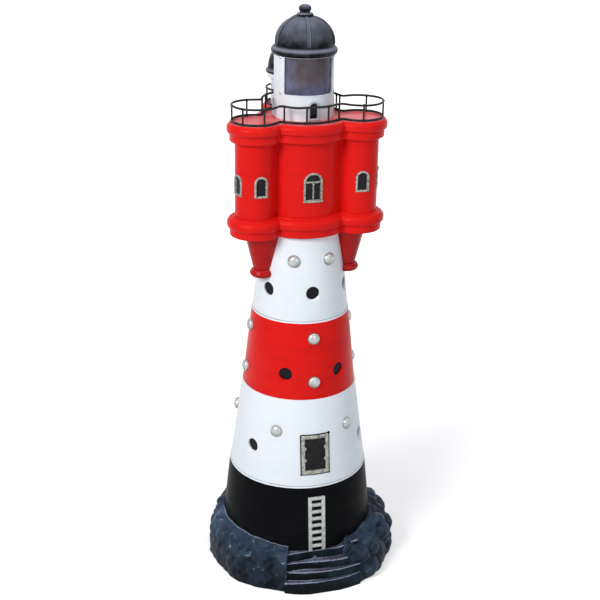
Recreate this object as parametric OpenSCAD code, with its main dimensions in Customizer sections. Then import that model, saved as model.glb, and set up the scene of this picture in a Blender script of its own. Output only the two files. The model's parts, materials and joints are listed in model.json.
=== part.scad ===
// Garden lighthouse ornament with a turning beacon.
// The origin is on the tower's axis at ground level. +Z is up and the door faces -Y.
// A bearing is an angle round an axis, 0 at the front and positive towards +X.

/* [Tower] */
// Height of the black section
black_h = 147; // [125:1:175]
// Height of the lower white section
lower_white_h = 126; // [108:1:150]
// Height of the red section
red_h = 110.5; // [94:0.5:132]
// Height of the upper white section
upper_white_h = 116.5; // [98:0.5:138]
// Outer radius of the black section where it stands on the base plate
foot_r = 114.2; // [106:0.2:118]
// Outer radius where black meets white
first_line_r = 98.4; // [92:0.2:104]
// Outer radius where white meets red
second_line_r = 80.5; // [74:0.2:88]
// Outer radius where red meets white
third_line_r = 67.5; // [62:0.2:74]
// Outer radius under the gallery
neck_r = 54; // [50:0.5:57]
// Wall of the tower sections
tower_wall = 3.2; // [2.6:0.1:4]
// Ledge that each section leaves under the next one
ledge = 0.9; // [0.5:0.1:1.5]
// Height of the spigot that stands up into the next section
spigot_h = 12; // [9:0.5:16]
// Gap round a spigot, a frame or a pane in its seat
seat_gap = 0.2; // [0.1:0.05:0.3]

/* [Rock base] */
// Radius of the rock at the ground
rock_foot_r = 136; // [128:1:146]
// Height of the rock round the tower
rock_h = 68; // [58:1:76]
// How far the rock is set off from the tower, towards the right
rock_shift = 8; // [0:1:10]
// How far the stones stand out of the rock
stone_relief = 7; // [4:0.5:8]
// Width of the flight of steps
steps_w = 94; // [80:1:110]
// Height of the top step, where the ladder stands
top_step_z = 53; // [46:0.5:56]
// Thickness of the base plate
plate_t = 4; // [3:0.5:5]
// Radius of the base plate
plate_r = 115.6; // [115.2:0.1:117]

/* [Portholes and studs] */
// Radius of a porthole's opening
porthole_r = 9.25; // [8:0.25:10.5]
// Depth of a porthole's black disc in its recess
porthole_depth = 3; // [2.5:0.25:3.5]
// Thickness of a porthole's disc
porthole_t = 2; // [1.5:0.25:2.5]
// Radius of a stud's dome
stud_r = 8.5; // [7.5:0.25:9.5]
// Height of a stud's dome above the wall
stud_h = 6; // [5:0.25:7]

/* [Door and ladder] */
// Width of the door frame
door_w = 40; // [34:1:46]
// Height of the door frame
door_h = 57; // [50:1:62]
// Height of the door's sill above the black section
door_sill = 18; // [12:1:24]
// Width of the bars of the door frame
door_bar = 5; // [4:0.5:6]
// Width of the ladder
ladder_w = 24.5; // [21:0.5:28]
// Length of the ladder
ladder_l = 83; // [70:1:90]
// Number of rungs
rungs = 7; // [5:1:8]

/* [Gallery house] */
// Radius of the round middle of the wall
house_r = 54; // [52:0.5:56]
// Distance from the axis to the middle of an oriel
oriel_at = 74; // [70:0.5:78]
// Radius of an oriel's wall
oriel_r = 27; // [25:0.5:29]
// Wall of the gallery house
house_wall = 3; // [2.5:0.25:4]
// How far the big rims stand out of the wall
rim_out = 11; // [9:0.5:12]
// How far the small rims stand out of the wall
small_rim_out = 7.4; // [6:0.2:8.4]
// Height of the small rim of each cornice
small_rim_h = 11; // [9:0.5:13]
// Height of the big rim of each cornice
big_rim_h = 13.5; // [12:0.5:16]
// Height of the wall seen between the cornices
wall_h = 101; // [90:1:115]
// Bearing of the side oriels
oriel_bearing = 72; // [70:0.5:76]

/* [Windows] */
// Width of the middle window
casement_w = 25.5; // [22:0.5:29]
// Height of the middle window
casement_h = 39.5; // [35:0.5:44]
// Width of an oriel window
oriel_win_w = 18; // [16:0.5:20]
// Height of an oriel window
oriel_win_h = 29; // [26:0.5:33]
// Height of the window sills above the wall's foot
sill_up = 22; // [16:1:28]
// Width of the bars of a window frame
win_bar = 2.6; // [2.2:0.1:3]

/* [Corbels] */
// Distance from the axis to a corbel's own axis
corbel_at = 62; // [60:0.5:66]
// Radius of a corbel's top
corbel_top_r = 24; // [21:0.5:26]
// Height of a corbel with its knob
corbel_h = 58; // [50:1:66]
// Radius of a corbel's knob
knob_r = 13; // [11:0.5:14]

/* [Railing] */
// Diameter of the railing wire
wire_d = 3; // [2.5:0.1:3.5]
// Height of the top rail's middle above the deck
rail_h = 21.8; // [18:0.2:26]
// Radius of the railing round the middle of the deck
rail_r = 54.5; // [53:0.5:57]
// Radius of the railing round an oriel
rail_oriel_r = 30.8; // [30:0.2:33]

/* [Lantern] */
// Outer radius of the lantern housing
lantern_r = 39.2; // [37:0.2:41]
// Wall of the lantern housing
lantern_wall = 2.6; // [2:0.1:3.2]
// Height of the lantern housing above the deck
lantern_h = 85; // [76:1:100]
// Height of the window's sill above the deck
pane_sill = 34; // [31:1:38]
// Height of the window opening
pane_h = 46.5; // [38:0.5:47]
// Half of the window's opening, as a bearing
pane_half = 56; // [45:1:62]
// Width of a gallery door
small_door_w = 16; // [14:0.5:18]
// Height of a gallery door
small_door_h = 26; // [22:0.5:27]

/* [Dome] */
// How far the foot of the dome's curve is inside the face of the lantern housing
dome_in = 0.6; // [0:0.1:1.2]
// Radius of the dome's curve
dome_curve_r = 33; // [30:0.5:35]
// How far the dome's round rim stands out of the lantern housing
rim_over = 4.3; // [3.4:0.1:5.6]
// Height of the dome's round rim
rim_h = 11; // [9:0.5:12]
// Thickness of the dome's shell
dome_wall = 3; // [2:0.25:4]
// Width of a rib on the dome
rib_w = 4.4; // [3:0.2:6]
// Radius of the finial's ball
ball_r = 8.6; // [7.4:0.2:9.6]

/* [Turret] */
// Radius of the turret's wall
turret_r = 24.6; // [23:0.2:27]
// Height of the turret's wall with its cornice
turret_h = 43; // [37:1:50]
// Radius of the turret's cornice
turret_rim_r = 29.8; // [28:0.2:32]
// Height of the turret's dome above its rim
turret_dome_h = 32; // [26:0.5:36]

/* [Light and drive] */
// Outer radius of the lamp pillar
pillar_r = 10; // [9:0.25:10.5]
// Inner radius of the lamp pillar, which carries the wires
pillar_bore_r = 7; // [6:0.25:7.5]
// Running gap between the pillar and the beacon's bushes
run_gap = 0.05; // [0.03:0.01:0.08]
// Gear module
gear_module = 1; // [1:0.05:1.15]
// Teeth on the beacon's ring gear
ring_teeth = 48; // [44:4:52]
// Teeth on the motor's pinion
pinion_teeth = 12; // [12:1:13]
// Width of the ring gear's teeth
gear_w = 8; // [6:0.5:10]
// Radius of the motor
motor_r = 18; // [15:0.5:19]
// Height of the motor
motor_h = 22; // [18:1:24]
// Radius of the bulb's globe
bulb_r = 13; // [11:0.5:14]
// Length of the bulb's globe
bulb_l = 42; // [36:1:44]
// Radius of the curved reflector
reflector_r = 26; // [23:0.5:28]

/* [Cable gland] */
// Height of the gland's axis above the ground
gland_z = 26; // [22:1:30]
// Radius of the cable way through the gland
cable_r = 3.6; // [3:0.1:4]
// Radius of the gland's threaded ends
gland_r = 8; // [7:0.25:9]

/* [Hidden] */

$fn = 96;
EPS = 0.5;           // how far a cut runs past the faces that it opens
FAR = 400;           // longer than any wall is from the axis

// Levels and radii of the tower's colour lines, from the base plate up
level = [plate_t, plate_t + black_h, plate_t + black_h + lower_white_h,
    plate_t + black_h + lower_white_h + red_h, plate_t + black_h + lower_white_h + red_h + upper_white_h];
line_r = [foot_r, first_line_r, second_line_r, third_line_r, neck_r];
spigot_wall = 3;
spigot_web = 5;
function top_r(i) = line_r[i + 1];
function bottom_r(i) = i == 0 ? foot_r : line_r[i] - ledge;
function slope(i) = (bottom_r(i) - top_r(i)) / (level[i + 1] - level[i]);
// Outer radius of section i at height z
function section_r(i, z) = bottom_r(i) - slope(i) * (z - level[i]);
// Outer radius of the spigot on top of section i
function spigot_r(i) = (i < 3 ? section_r(i + 1, level[i + 1] + spigot_h) : neck_r) - tower_wall - seat_gap;

// Heights of the porthole and stud rows, each measured from its section's foot
lower_holes_up = 48;
middle_holes_up = 36;
upper_holes_up = 39.5;
lower_hole_bearings = [-120, -60, 60, 120, 180];
middle_hole_bearings = [-30, 30, 150, 210];
upper_hole_bearings = [0, 60, 120, 180, 240, 300];
lower_stud_rows = [[79, [-36, 36, -108, 108, 180]]];
middle_stud_rows = [[25, [0, 90, 180, 270]], [87, [0, 90, 180, 270]]];
upper_stud_rows = [[83.5, [-25, 25, -112, 112, -148, 148]]];
porthole_boss = 4;           // how far the boss behind a porthole is wider than its opening
porthole_lap = 1.5;          // how far a disc is wider than the opening in front of it
stud_seat = 1.2;             // depth of a stud's spot face
stud_shank_r = 2.5;
stud_shank_l = 7;

// Door and ladder
door_z = level[1] + door_sill;
door_proud = 1.4;
door_frame_t = 3.8;
door_leaf_t = 2.2;
lug_r = 2.2;
lug_heights = [0.36, 0.66];  // as shares of the frame's height
ladder_t = 3;
ladder_stile = 5.4;
rung_h = 5;
ladder_off = 0.15;

// Gallery levels, from the top of the tower up
house_z = level[4];
rim_steps = [[0, 4], [1.5, 1.5], [4, 0]];  // how far each step of a big rim's edge is down and in
cornice_step = 2;            // height of the step between the lower cornice and the wall
cornice_step_out = 4;        // how far the step stands out of the wall
oriel_rim_less = 0.5;        // how much less the rims stand out round an oriel
lower_big_z = house_z + small_rim_h;
wall_z = lower_big_z + big_rim_h + cornice_step;
upper_small_z = wall_z + wall_h;
upper_big_z = upper_small_z + small_rim_h;
deck_z = upper_big_z + big_rim_h;
oriels = [-oriel_bearing, oriel_bearing, 180];
wall_seat = 3;               // how deep the wall stands in its grooves
floor_web = 6;               // thickness of the floor and the deck over their hollows
hollow_r = 44;               // radius of the hollows in the middle of the floor and the deck
oriel_hollow_r = 19;         // radius of the hollows in the oriels
deck_hole_r = 34;
win_z = wall_z + sill_up;
oriel_win_z = win_z + 8;
win_proud = 1.5;
win_frame_t = 3;
win_pane_t = 1.6;
glazing_bar = 2;
win_pane_out = win_proud - win_frame_t - 0.1;
oriel_windows = [-75, 0, 75];

// Corbels
knob_h = 5.5;
corbel_foot_r = 8.4;

// Lantern
lantern_in_r = lantern_r - lantern_wall;
lantern_flange = 4;
lantern_spigot_r = deck_hole_r - seat_gap;
lantern_spigot_in = 31;
lantern_spigot_h = 8;
pane_z = deck_z + pane_sill;
pane_t = 2;
pane_out_r = lantern_in_r - seat_gap;
pane_lap = 4;                // how far the pane laps the housing above and below
pane_side_lap = 16;          // how far it laps at each side, as a bearing
screw_in = 2;                // how far a pane screw is inside the window's height
screw_bearing = pane_half + 10;
small_door_z = deck_z + 1;
small_doors = [4, -90, 94];

// Dome
dome_seat_z = deck_z + lantern_h;
dome_low_z = dome_seat_z - 4;
dome_mid_z = dome_low_z + rim_h + 4;
dome_r = lantern_r - dome_in;
rim_r = lantern_r + rim_over;
dome_off = dome_r - dome_curve_r;
dome_top_z = dome_mid_z + dome_curve_r;
dome_skirt_gap = 0.3;
rib_proud = 1.5;
ribs = 5;
rib_start = -7;
collar_r = 11.4;
collar_h = 5;
finial_neck_r = 8.8;
finial_neck_h = 1.6;
ball_up = 0.4;
finial_shank_r = 3;
finial_shank_l = 12;

// Turret
turret_wall = 2.8;
turret_top_z = deck_z + turret_h;
turret_cornice_h = 9;
turret_cove_h = 3;           // height of the slope under the cornice
turret_dome_r = turret_rim_r - 3.2;
turret_rim_h = 5;
turret_ring_r = turret_rim_r + 0.6 - turret_rim_h / 2;
turret_button_r = 5;
turret_button_h = 3;

// Mechanism
mech_z = wall_z - wall_seat;
mech_t = 3;
mech_top = mech_z + mech_t;
mech_r = house_r - house_wall - 0.5;
pillar_foot_out = 1.5;
pillar_foot_h = 2;
collar_z = mech_top + motor_h + 6;
collar_out_r = pillar_r + 4;
thrust_collar_h = 4;
thrust_t = 1.2;
rotor_z = collar_z + thrust_collar_h + thrust_t;
bush_wall = 2;
bush_l = 12;
rotor_in_r = pillar_r + run_gap + bush_wall;
rotor_out_r = rotor_in_r + 2.6;
rotor_shoulder = 3;          // how far the shoulder over the ring gear stands out
rotor_shoulder_h = 2;
table_z = deck_z + 8;
table_t = 2;
table_r = 29;
pillar_top = table_z + table_t + 2;
holder_r = 13;
holder_h = 22;
bulb_z = pillar_top + holder_h;
cap_r = 6.8;
cap_l = 15;
reflector_t = 1;
reflector_below = 6;         // how far the reflector ends below the dome's seat
reflector_sweep = 150;
pitch_ring = gear_module * ring_teeth / 2;
pitch_pinion = gear_module * pinion_teeth / 2;
motor_at = pitch_ring + pitch_pinion;
motor_shaft_r = 2.5;
motor_boss_r = 7;
motor_boss_h = 3;
pressure = 25;
addendum = 0.9 * gear_module;
dedendum = 1.2 * gear_module;
backlash = 0.14;
gear_z = rotor_z + 1;

// Screws
m3_r = 1.5;
m3_head_r = 2.9;
m3_head_h = 2;
screw_sink = 0.4;            // how far the base screws' heads are below the plate's face
base_screw_l = 12;
base_screw_at = 98;
base_boss_r = 7;
base_boss_h = 18;
boss_web = 4;                // thickness of the web from a boss to the wall
pane_screw_r = 1.2;
pane_screw_head_r = 2.1;

// Terminal box
terminal = [60, 40, 24];
terminal_wall = 2;
wire_hole_r = 4;

// Gland, in the pocket at the back of the rock
gland_seat_y = section_r(0, gland_z) - 2;
gland_pad_t = 9;
pocket_w = 40;
pocket_h = 50;
gland_pad_r = 14;
gland_inside_y = gland_seat_y - gland_pad_t;
gland_flange_r = 12;
gland_flange_h = 4;
gland_shank_in = 7;
gland_thread_out = 9;
gland_cup_wall = 1.8;        // wall of the gland's cup round its seal
gland_nut_h = 4;
gland_cap_wall = 3.4;
gland_cap_top = 4;           // height of the cap's cone
gland_lip = 0.2;             // gap between the gland's flange and its cap
thread_gap = 0.02;

// ---- Helpers ----

module tube(h, r_out, r_in) {
    difference() {
        cylinder(h = h, r = r_out);
        translate([0, 0, -EPS]) cylinder(h = h + 2 * EPS, r = r_in);
    }
}

module lift(z) {
    translate([0, 0, z]) children();
}

// Places a child at a bearing and a height, standing outwards from the distance r to the axis
module radial(bearing, z, r) {
    rotate([0, 0, bearing]) translate([0, -r, z]) rotate([90, 0, 0]) children();
}

// The frame of the oriel or corbel at a bearing, whose own front faces outwards
module outward(bearing, at) {
    rotate([0, 0, bearing]) translate([0, -at, 0]) children();
}

module arch(w, h) {
    translate([-w / 2, 0]) square([w, h - w / 2]);
    translate([0, h - w / 2]) circle(d = w);
}

// The plan of the gallery, its round middle and three oriels, each set off from its wall
module plan(off, oriel_off) {
    circle(r = house_r + off);
    for (b = oriels) rotate([0, 0, b]) translate([0, -oriel_at]) circle(r = oriel_r + oriel_off);
}

module slab(z, h, off, oriel_off) {
    lift(z) linear_extrude(height = h) plan(off, oriel_off);
}

// ---- Rock base ----

stone_count = 16;
stone_rows = 3;
stone_size = 17;
stone_seed = 23;
stone_rand = rands(-1, 1, stone_count * stone_rows * 4, stone_seed);
rock_cols = 120;
rock_rows = 10;
rock_gap = 0.6;
rock_shift_bearing = 75;
step_tops = [top_step_z, top_step_z - 11, top_step_z - 23, top_step_z - 34];
step_edges = [112.5, 119.5, 130, 137.5];
step_curve_r = 300;

function turn(a) = a > 180 ? a - 360 : a < -180 ? a + 360 : a;
function rock_in_r(z) = section_r(0, z) + rock_gap;
function rock_foot(a) = rock_foot_r + rock_shift * cos(a - rock_shift_bearing);
// Profile of the rock without its stones, at a bearing and a share of its height
function rock_wall_r(a, t) = let (crest_r = rock_in_r(rock_h) + 3)
    crest_r + (rock_foot(a) - crest_r) * pow(1 - pow(t, 3.2), 0.8);
// Stone k of row j: its bearing, its height, its size and the turn of its faces
function stone(j, k) = let (n = 4 * (j * stone_count + k))
    [(k + 0.5 * j + 0.3 * stone_rand[n]) * 360 / stone_count,
    rock_h * (0.13 + 0.34 * j + 0.05 * stone_rand[n + 1]), stone_size * (1 + 0.24 * stone_rand[n + 2]),
    36 * stone_rand[n + 3]];
// How far a stone's faces stand out at a point, as a share of the relief
function stone_share(s, a, z) = let (dx = turn(a - s[0]) * PI / 180 * rock_foot_r, dz = z - s[1],
    d = max([for (f = [0:4]) dx * cos(72 * f + s[3]) + dz * sin(72 * f + s[3])]) / s[2])
    min(1, 1.9 * (1 - d));
function stones_out(a, z) = max([for (j = [0:stone_rows - 1], k = [0:stone_count - 1])
    stone_share(stone(j, k), a, z)]);
function rock_out_r(a, t) = t > 0.99 ? rock_in_r(rock_h) + 2
    : rock_wall_r(a, t) + stone_relief * (max(-0.6, stones_out(a, t * rock_h)) * (1 - 0.4 * t) - 0.2);
// The crest rises and falls round the tower
function crest(a) = 1 + 0.045 * sin(3 * a + 40) + 0.035 * sin(7 * a);
function rock_point(a, r, z) = [r * sin(a), -r * cos(a), z];

module rock_ring() {
    outside = [for (j = [0:rock_rows], i = [0:rock_cols - 1]) let (a = 360 * i / rock_cols - 180,
        t = 1 - pow(1 - j / rock_rows, 1.15))
        rock_point(a, rock_out_r(a, t), t * rock_h * (t > 0.3 ? crest(a) : 1))];
    inside = [for (j = [0:1], i = [0:rock_cols - 1]) let (a = 360 * i / rock_cols - 180,
        z = j == 0 ? rock_h * crest(a) - 1.5 : 0)
        rock_point(a, rock_in_r(z), z)];
    rings = rock_rows + 2;
    faces = [for (j = [0:rings], i = [0:rock_cols - 1])
        let (n = (i + 1) % rock_cols, up = (j + 1) % (rings + 1))
        each [[j * rock_cols + i, up * rock_cols + i, up * rock_cols + n],
        [j * rock_cols + i, up * rock_cols + n, j * rock_cols + n]]];
    polyhedron(points = concat(outside, inside), faces = faces);
}

module step_slab(z, edge) {
    intersection() {
        translate([0, step_curve_r - edge, 0]) cylinder(h = z, r = step_curve_r);
        translate([-steps_w / 2, -edge - EPS, 0]) cube([steps_w, edge, z]);
    }
}

module rock_base() color("slategray") difference() {
    union() {
        difference() {
            rock_ring();
            translate([-steps_w / 2, -FAR, -EPS]) cube([steps_w, FAR - foot_r + 30, rock_h * 2]);
        }
        difference() {
            for (i = [0:len(step_tops) - 1]) step_slab(step_tops[i], step_edges[i]);
            lift(-EPS) cylinder(h = rock_h * 2, r1 = rock_in_r(-EPS), r2 = rock_in_r(rock_h * 2 - EPS));
        }
    }
    lift(-EPS) cylinder(h = plate_t + EPS, r = plate_r + 0.4);
    translate([-pocket_w / 2, foot_r - 12, -EPS]) cube([pocket_w, 60, pocket_h + EPS]);
}

// ---- Base plate and its screws ----

base_screw_bearings = [45, 135, 225, 315];

module base_plate() color("dimgray") difference() {
    cylinder(h = plate_t, r = plate_r);
    for (b = base_screw_bearings) outward(b, base_screw_at) {
        lift(-EPS) cylinder(h = plate_t + 2 * EPS, r = m3_r + 0.25);
        lift(-EPS) cylinder(h = m3_head_h + screw_sink + EPS, r = m3_head_r + 0.3);
    }
}

module screw(l) {
    cylinder(h = m3_head_h, r = m3_head_r);
    lift(m3_head_h) cylinder(h = l, r = m3_r);
}

module base_screws() color("silver") for (b = base_screw_bearings)
    outward(b, base_screw_at) lift(screw_sink) screw(base_screw_l);

// An open box with a wire hole in its rear wall
module terminal_box() color("whitesmoke") translate([-terminal[0] / 2, -terminal[1] / 2, plate_t])
    difference() {
        cube(terminal);
        translate([terminal_wall, terminal_wall, terminal_wall])
            cube([terminal[0] - 2 * terminal_wall, terminal[1] - 2 * terminal_wall, terminal[2]]);
        translate([terminal[0] / 2, terminal[1] + EPS, terminal[2] / 2]) rotate([90, 0, 0])
            cylinder(h = terminal_wall + 2 * EPS, r = wire_hole_r);
    }

// ---- Cable gland ----

// Places a child on the gland's axis, standing outwards to the rear from y
module gland_at(y) {
    translate([0, y, gland_z]) rotate([-90, 0, 0]) children();
}

module gland_body() color("black") gland_at(gland_inside_y - gland_shank_in) difference() {
    shank = gland_pad_t + gland_shank_in;
    union() {
        cylinder(h = shank + gland_flange_h + gland_thread_out, r = gland_r);
        lift(shank) cylinder(h = gland_flange_h, r = gland_flange_r, $fn = 6);
    }
    lift(-EPS) cylinder(h = FAR, r = cable_r);
    lift(shank + gland_flange_h + 1) cylinder(h = FAR, r = gland_r - gland_cup_wall);
}

module gland_locknut() color("black") gland_at(gland_inside_y - gland_nut_h) difference() {
    cylinder(h = gland_nut_h, r = gland_flange_r, $fn = 6);
    lift(-EPS) cylinder(h = gland_nut_h + 2 * EPS, r = gland_r + thread_gap);
}

module gland_seal() color("gray") gland_at(gland_seat_y + gland_flange_h + 1)
    tube(gland_thread_out - 0.4, gland_r - gland_cup_wall - 0.05, cable_r + 0.1);

module gland_cap() color("black") gland_at(gland_seat_y + gland_flange_h + gland_lip) difference() {
    union() {
        cylinder(h = gland_thread_out, r = gland_r + gland_cap_wall);
        lift(gland_thread_out) cylinder(h = gland_cap_top, r1 = gland_r + gland_cap_wall, r2 = cable_r + 3);
    }
    lift(-EPS) cylinder(h = gland_thread_out + 0.6 + EPS, r = gland_r + thread_gap);
    lift(-EPS) cylinder(h = FAR, r = cable_r + 0.2);
}

// ---- Tower sections ----

module section_solid(i, off = 0) {
    lift(level[i]) cylinder(h = level[i + 1] - level[i], r1 = bottom_r(i) + off, r2 = top_r(i) + off);
}

module section_shell(i) {
    in_r = spigot_r(i) - spigot_wall;
    difference() {
        section_solid(i);
        lift(level[i] - EPS) cylinder(h = level[i + 1] - level[i] - spigot_web + EPS,
            r1 = bottom_r(i) - tower_wall, r2 = top_r(i) + slope(i) * spigot_web - tower_wall);
        lift(level[i]) cylinder(h = FAR, r = in_r);
    }
    lift(level[i + 1] - 1) tube(spigot_h + 1, spigot_r(i), in_r);
}

module porthole_bosses(i, z, bearings) intersection() {
    section_solid(i);
    for (b = bearings) radial(b, z, section_r(i, z) - porthole_depth - porthole_t - 3)
        cylinder(h = porthole_depth + porthole_t + 6, r = porthole_r + porthole_boss);
}

module porthole_bores(i, z, bearings) {
    for (b = bearings) {
        radial(b, z, section_r(i, z) - porthole_depth - EPS) cylinder(h = porthole_depth + 4, r = porthole_r);
        radial(b, z, section_r(i, z) - porthole_depth - 14) cylinder(h = 14, r = porthole_r + porthole_lap);
    }
}

module porthole_discs(i, z, bearings) {
    for (b = bearings) radial(b, z, section_r(i, z) - porthole_depth - porthole_t)
        cylinder(h = porthole_t, r = porthole_r + porthole_lap - seat_gap / 2);
}

module stud_seats(i, rows) {
    for (row = rows, b = row[1]) let (z = level[i] + row[0]) {
        radial(b, z, section_r(i, z) - stud_seat) cylinder(h = 6, r = stud_r + seat_gap);
        radial(b, z, section_r(i, z) - 12) cylinder(h = 12, r = stud_shank_r + 0.1);
    }
}

stud_ball_r = (stud_r * stud_r + stud_h * stud_h) / (2 * stud_h);

module stud() {
    intersection() {
        lift(stud_seat + stud_h - stud_ball_r) sphere(r = stud_ball_r);
        lift(stud_seat) cylinder(h = stud_h + 1, r = stud_r + 1);
    }
    cylinder(h = stud_seat, r = stud_r);
    lift(-stud_shank_l) cylinder(h = stud_shank_l + 0.5, r = stud_shank_r);
}

module studs(i, rows) {
    for (row = rows, b = row[1]) let (z = level[i] + row[0]) radial(b, z, section_r(i, z) - stud_seat) stud();
}

module black_section() color([0.07, 0.07, 0.08]) difference() {
    union() {
        section_shell(0);
        for (b = base_screw_bearings) outward(b, base_screw_at) lift(plate_t)
            cylinder(h = base_boss_h, r = base_boss_r);
        gland_at(gland_inside_y) cylinder(h = gland_seat_y - gland_inside_y + 0.5, r = gland_pad_r);
        intersection() {
            section_solid(0);
            for (b = base_screw_bearings) outward(b, base_screw_at) translate([-boss_web / 2, -16, plate_t])
                cube([boss_web, 16, base_boss_h]);
        }
    }
    for (b = base_screw_bearings) outward(b, base_screw_at) lift(plate_t - EPS) cylinder(h = 14, r = m3_r);
    gland_at(gland_seat_y) cylinder(h = 20, r = gland_flange_r + 1.6);
    gland_at(gland_inside_y - 1) cylinder(h = 20, r = gland_r + 0.05);
}

module lower_white_section() color("white") difference() {
    union() {
        section_shell(1);
        porthole_bosses(1, level[1] + lower_holes_up, lower_hole_bearings);
    }
    porthole_bores(1, level[1] + lower_holes_up, lower_hole_bearings);
    stud_seats(1, lower_stud_rows);
    translate([-door_w / 2, -FAR, door_z]) cube([door_w, FAR - second_line_r + 20, door_h]);
}

module red_section() color("red") difference() {
    union() {
        section_shell(2);
        porthole_bosses(2, level[2] + middle_holes_up, middle_hole_bearings);
    }
    porthole_bores(2, level[2] + middle_holes_up, middle_hole_bearings);
    stud_seats(2, middle_stud_rows);
}

module upper_white_section() color("white") difference() {
    union() {
        section_shell(3);
        porthole_bosses(3, level[3] + upper_holes_up, upper_hole_bearings);
    }
    porthole_bores(3, level[3] + upper_holes_up, upper_hole_bearings);
    stud_seats(3, upper_stud_rows);
}

module lower_portholes() color("black") porthole_discs(1, level[1] + lower_holes_up, lower_hole_bearings);
module middle_portholes() color("black") porthole_discs(2, level[2] + middle_holes_up, middle_hole_bearings);
module upper_portholes() color("black") porthole_discs(3, level[3] + upper_holes_up, upper_hole_bearings);
module lower_studs() color("silver") studs(1, lower_stud_rows);
module middle_studs() color("silver") studs(2, middle_stud_rows);
module upper_studs() color("silver") studs(3, upper_stud_rows);

// ---- Door and ladder ----

// A curved plate that follows the lower white section, between two depths below its surface
module door_layer(out, in) {
    intersection() {
        difference() {
            section_solid(1, out);
            section_solid(1, in);
        }
        children();
    }
}

module door_block(w, h, up) {
    translate([-w / 2, -FAR, door_z + up]) cube([w, FAR, h]);
}

module door_frame() color("silver") door_layer(door_proud, door_proud - door_frame_t) {
    difference() {
        door_block(door_w - 2 * seat_gap, door_h - 2 * seat_gap, seat_gap);
        door_block(door_w - 2 * door_bar, door_h - 2 * door_bar, door_bar);
    }
    for (side = [-1, 1], share = lug_heights)
        translate([side * (door_w / 2 - door_bar), 0, door_z + share * door_h])
            rotate([90, 0, 0]) cylinder(h = FAR, r = lug_r);
}

module door_leaf() color("black") door_layer(door_proud - door_frame_t - 0.1,
    door_proud - door_frame_t - 0.1 - door_leaf_t) {
    door_block(door_w - 2 * seat_gap, door_h - 2 * seat_gap, seat_gap);
}

module ladder() {
    foot_z = top_step_z + 0.1;
    pitch = ladder_l / (rungs + 1);
    color("silver") translate([0, -section_r(0, foot_z) - ladder_off, foot_z]) rotate([-atan(slope(0)), 0, 0])
        intersection() {
            union() {
                for (side = [-1, 1])
                    translate([side * (ladder_w - ladder_stile) / 2 - ladder_stile / 2, -ladder_t, -2])
                        cube([ladder_stile, ladder_t, ladder_l + 2]);
                for (k = [1:rungs + 1]) translate([-ladder_w / 2 + 1, -ladder_t + 0.4, k * pitch - rung_h])
                    cube([ladder_w - 2, ladder_t - 0.4, rung_h]);
            }
            rotate([atan(slope(0)), 0, 0]) translate([-ladder_w, -20, 0])
                cube([2 * ladder_w, 60, ladder_l * 2]);
        }
}

// ---- Corbels ----

module corbel(bearing) {
    foot_z = house_z - corbel_h;
    color("red") rotate([0, 0, bearing]) difference() {
        translate([0, -corbel_at, 0]) {
            lift(foot_z + knob_h) cylinder(h = corbel_h - knob_h, r1 = corbel_foot_r, r2 = corbel_top_r);
            translate([0, -1, foot_z]) {
                cylinder(h = knob_h, r = knob_r - knob_h / 2);
                lift(knob_h / 2) rotate_extrude() translate([knob_r - knob_h / 2, 0]) circle(d = knob_h);
            }
        }
        section_solid(3, 0.15);
    }
}

module left_corbel() corbel(-oriel_bearing);
module right_corbel() corbel(oriel_bearing);
module rear_corbel() corbel(180);

// ---- Gallery house ----

// Straight sides with round edges
module round_rim(r, h, edge_low, edge_high) {
    lift(edge_low) cylinder(h = h - edge_low - edge_high, r = r);
    cylinder(h = h, r = r - max(edge_low, edge_high));
    lift(edge_low) rotate_extrude() translate([r - edge_low, 0]) circle(r = edge_low);
    lift(h - edge_high) rotate_extrude() translate([r - edge_high, 0]) circle(r = edge_high);
}

// A big rim, whose upper edge steps in twice
module big_rim(z) {
    for (k = [0:len(rim_steps) - 1]) slab(z, big_rim_h - rim_steps[k][0], rim_out - rim_steps[k][1],
        rim_out - oriel_rim_less - rim_steps[k][1]);
}

module small_rim(z) {
    slab(z, small_rim_h + 1, small_rim_out, small_rim_out - oriel_rim_less);
}

module gallery_floor() color("red") difference() {
    union() {
        small_rim(house_z);
        big_rim(lower_big_z);
        slab(wall_z - cornice_step - 1, cornice_step + 1, cornice_step_out, cornice_step_out);
    }
    lift(house_z - EPS) cylinder(h = spigot_h + 2 * EPS, r = neck_r - tower_wall);
    lift(house_z) cylinder(h = FAR, r = hollow_r);
    for (b = oriels) outward(b, oriel_at) lift(house_z + floor_web) cylinder(h = FAR, r = oriel_hollow_r);
    slab(wall_z - wall_seat, FAR, seat_gap, seat_gap);
    for (b = plate_screw_bearings) outward(b, plate_screw_at) lift(mech_top - plate_screw_l - EPS)
        cylinder(h = plate_screw_l, r = m3_r);
}

module house_shell(z, h) {
    lift(z) linear_extrude(height = h) difference() {
        plan(0, 0);
        plan(-house_wall, -house_wall);
    }
}

module window_hole(w, h, z, wall_r) {
    translate([0, 0, z]) rotate([90, 0, 0]) lift(wall_r - 8) linear_extrude(height = 14) arch(w, h);
}

module gallery_wall() color("red") difference() {
    house_shell(wall_z - wall_seat, wall_h + 2 * wall_seat);
    window_hole(casement_w, casement_h, win_z, house_r);
    for (b = oriels, w = oriel_windows) outward(b, oriel_at) rotate([0, 0, w])
        window_hole(oriel_win_w, oriel_win_h, oriel_win_z, oriel_r);
}

module gallery_deck() color("red") difference() {
    union() {
        small_rim(upper_small_z);
        big_rim(upper_big_z);
    }
    lift(upper_small_z - EPS) cylinder(h = FAR, r = deck_hole_r);
    lift(upper_small_z - EPS) cylinder(h = deck_z - upper_small_z - floor_web, r = hollow_r);
    for (b = oriels) outward(b, oriel_at)
        lift(upper_small_z - EPS) cylinder(h = deck_z - upper_small_z - floor_web, r = oriel_hollow_r);
    slab(upper_small_z + wall_seat - FAR, FAR, seat_gap, seat_gap);
}

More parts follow.
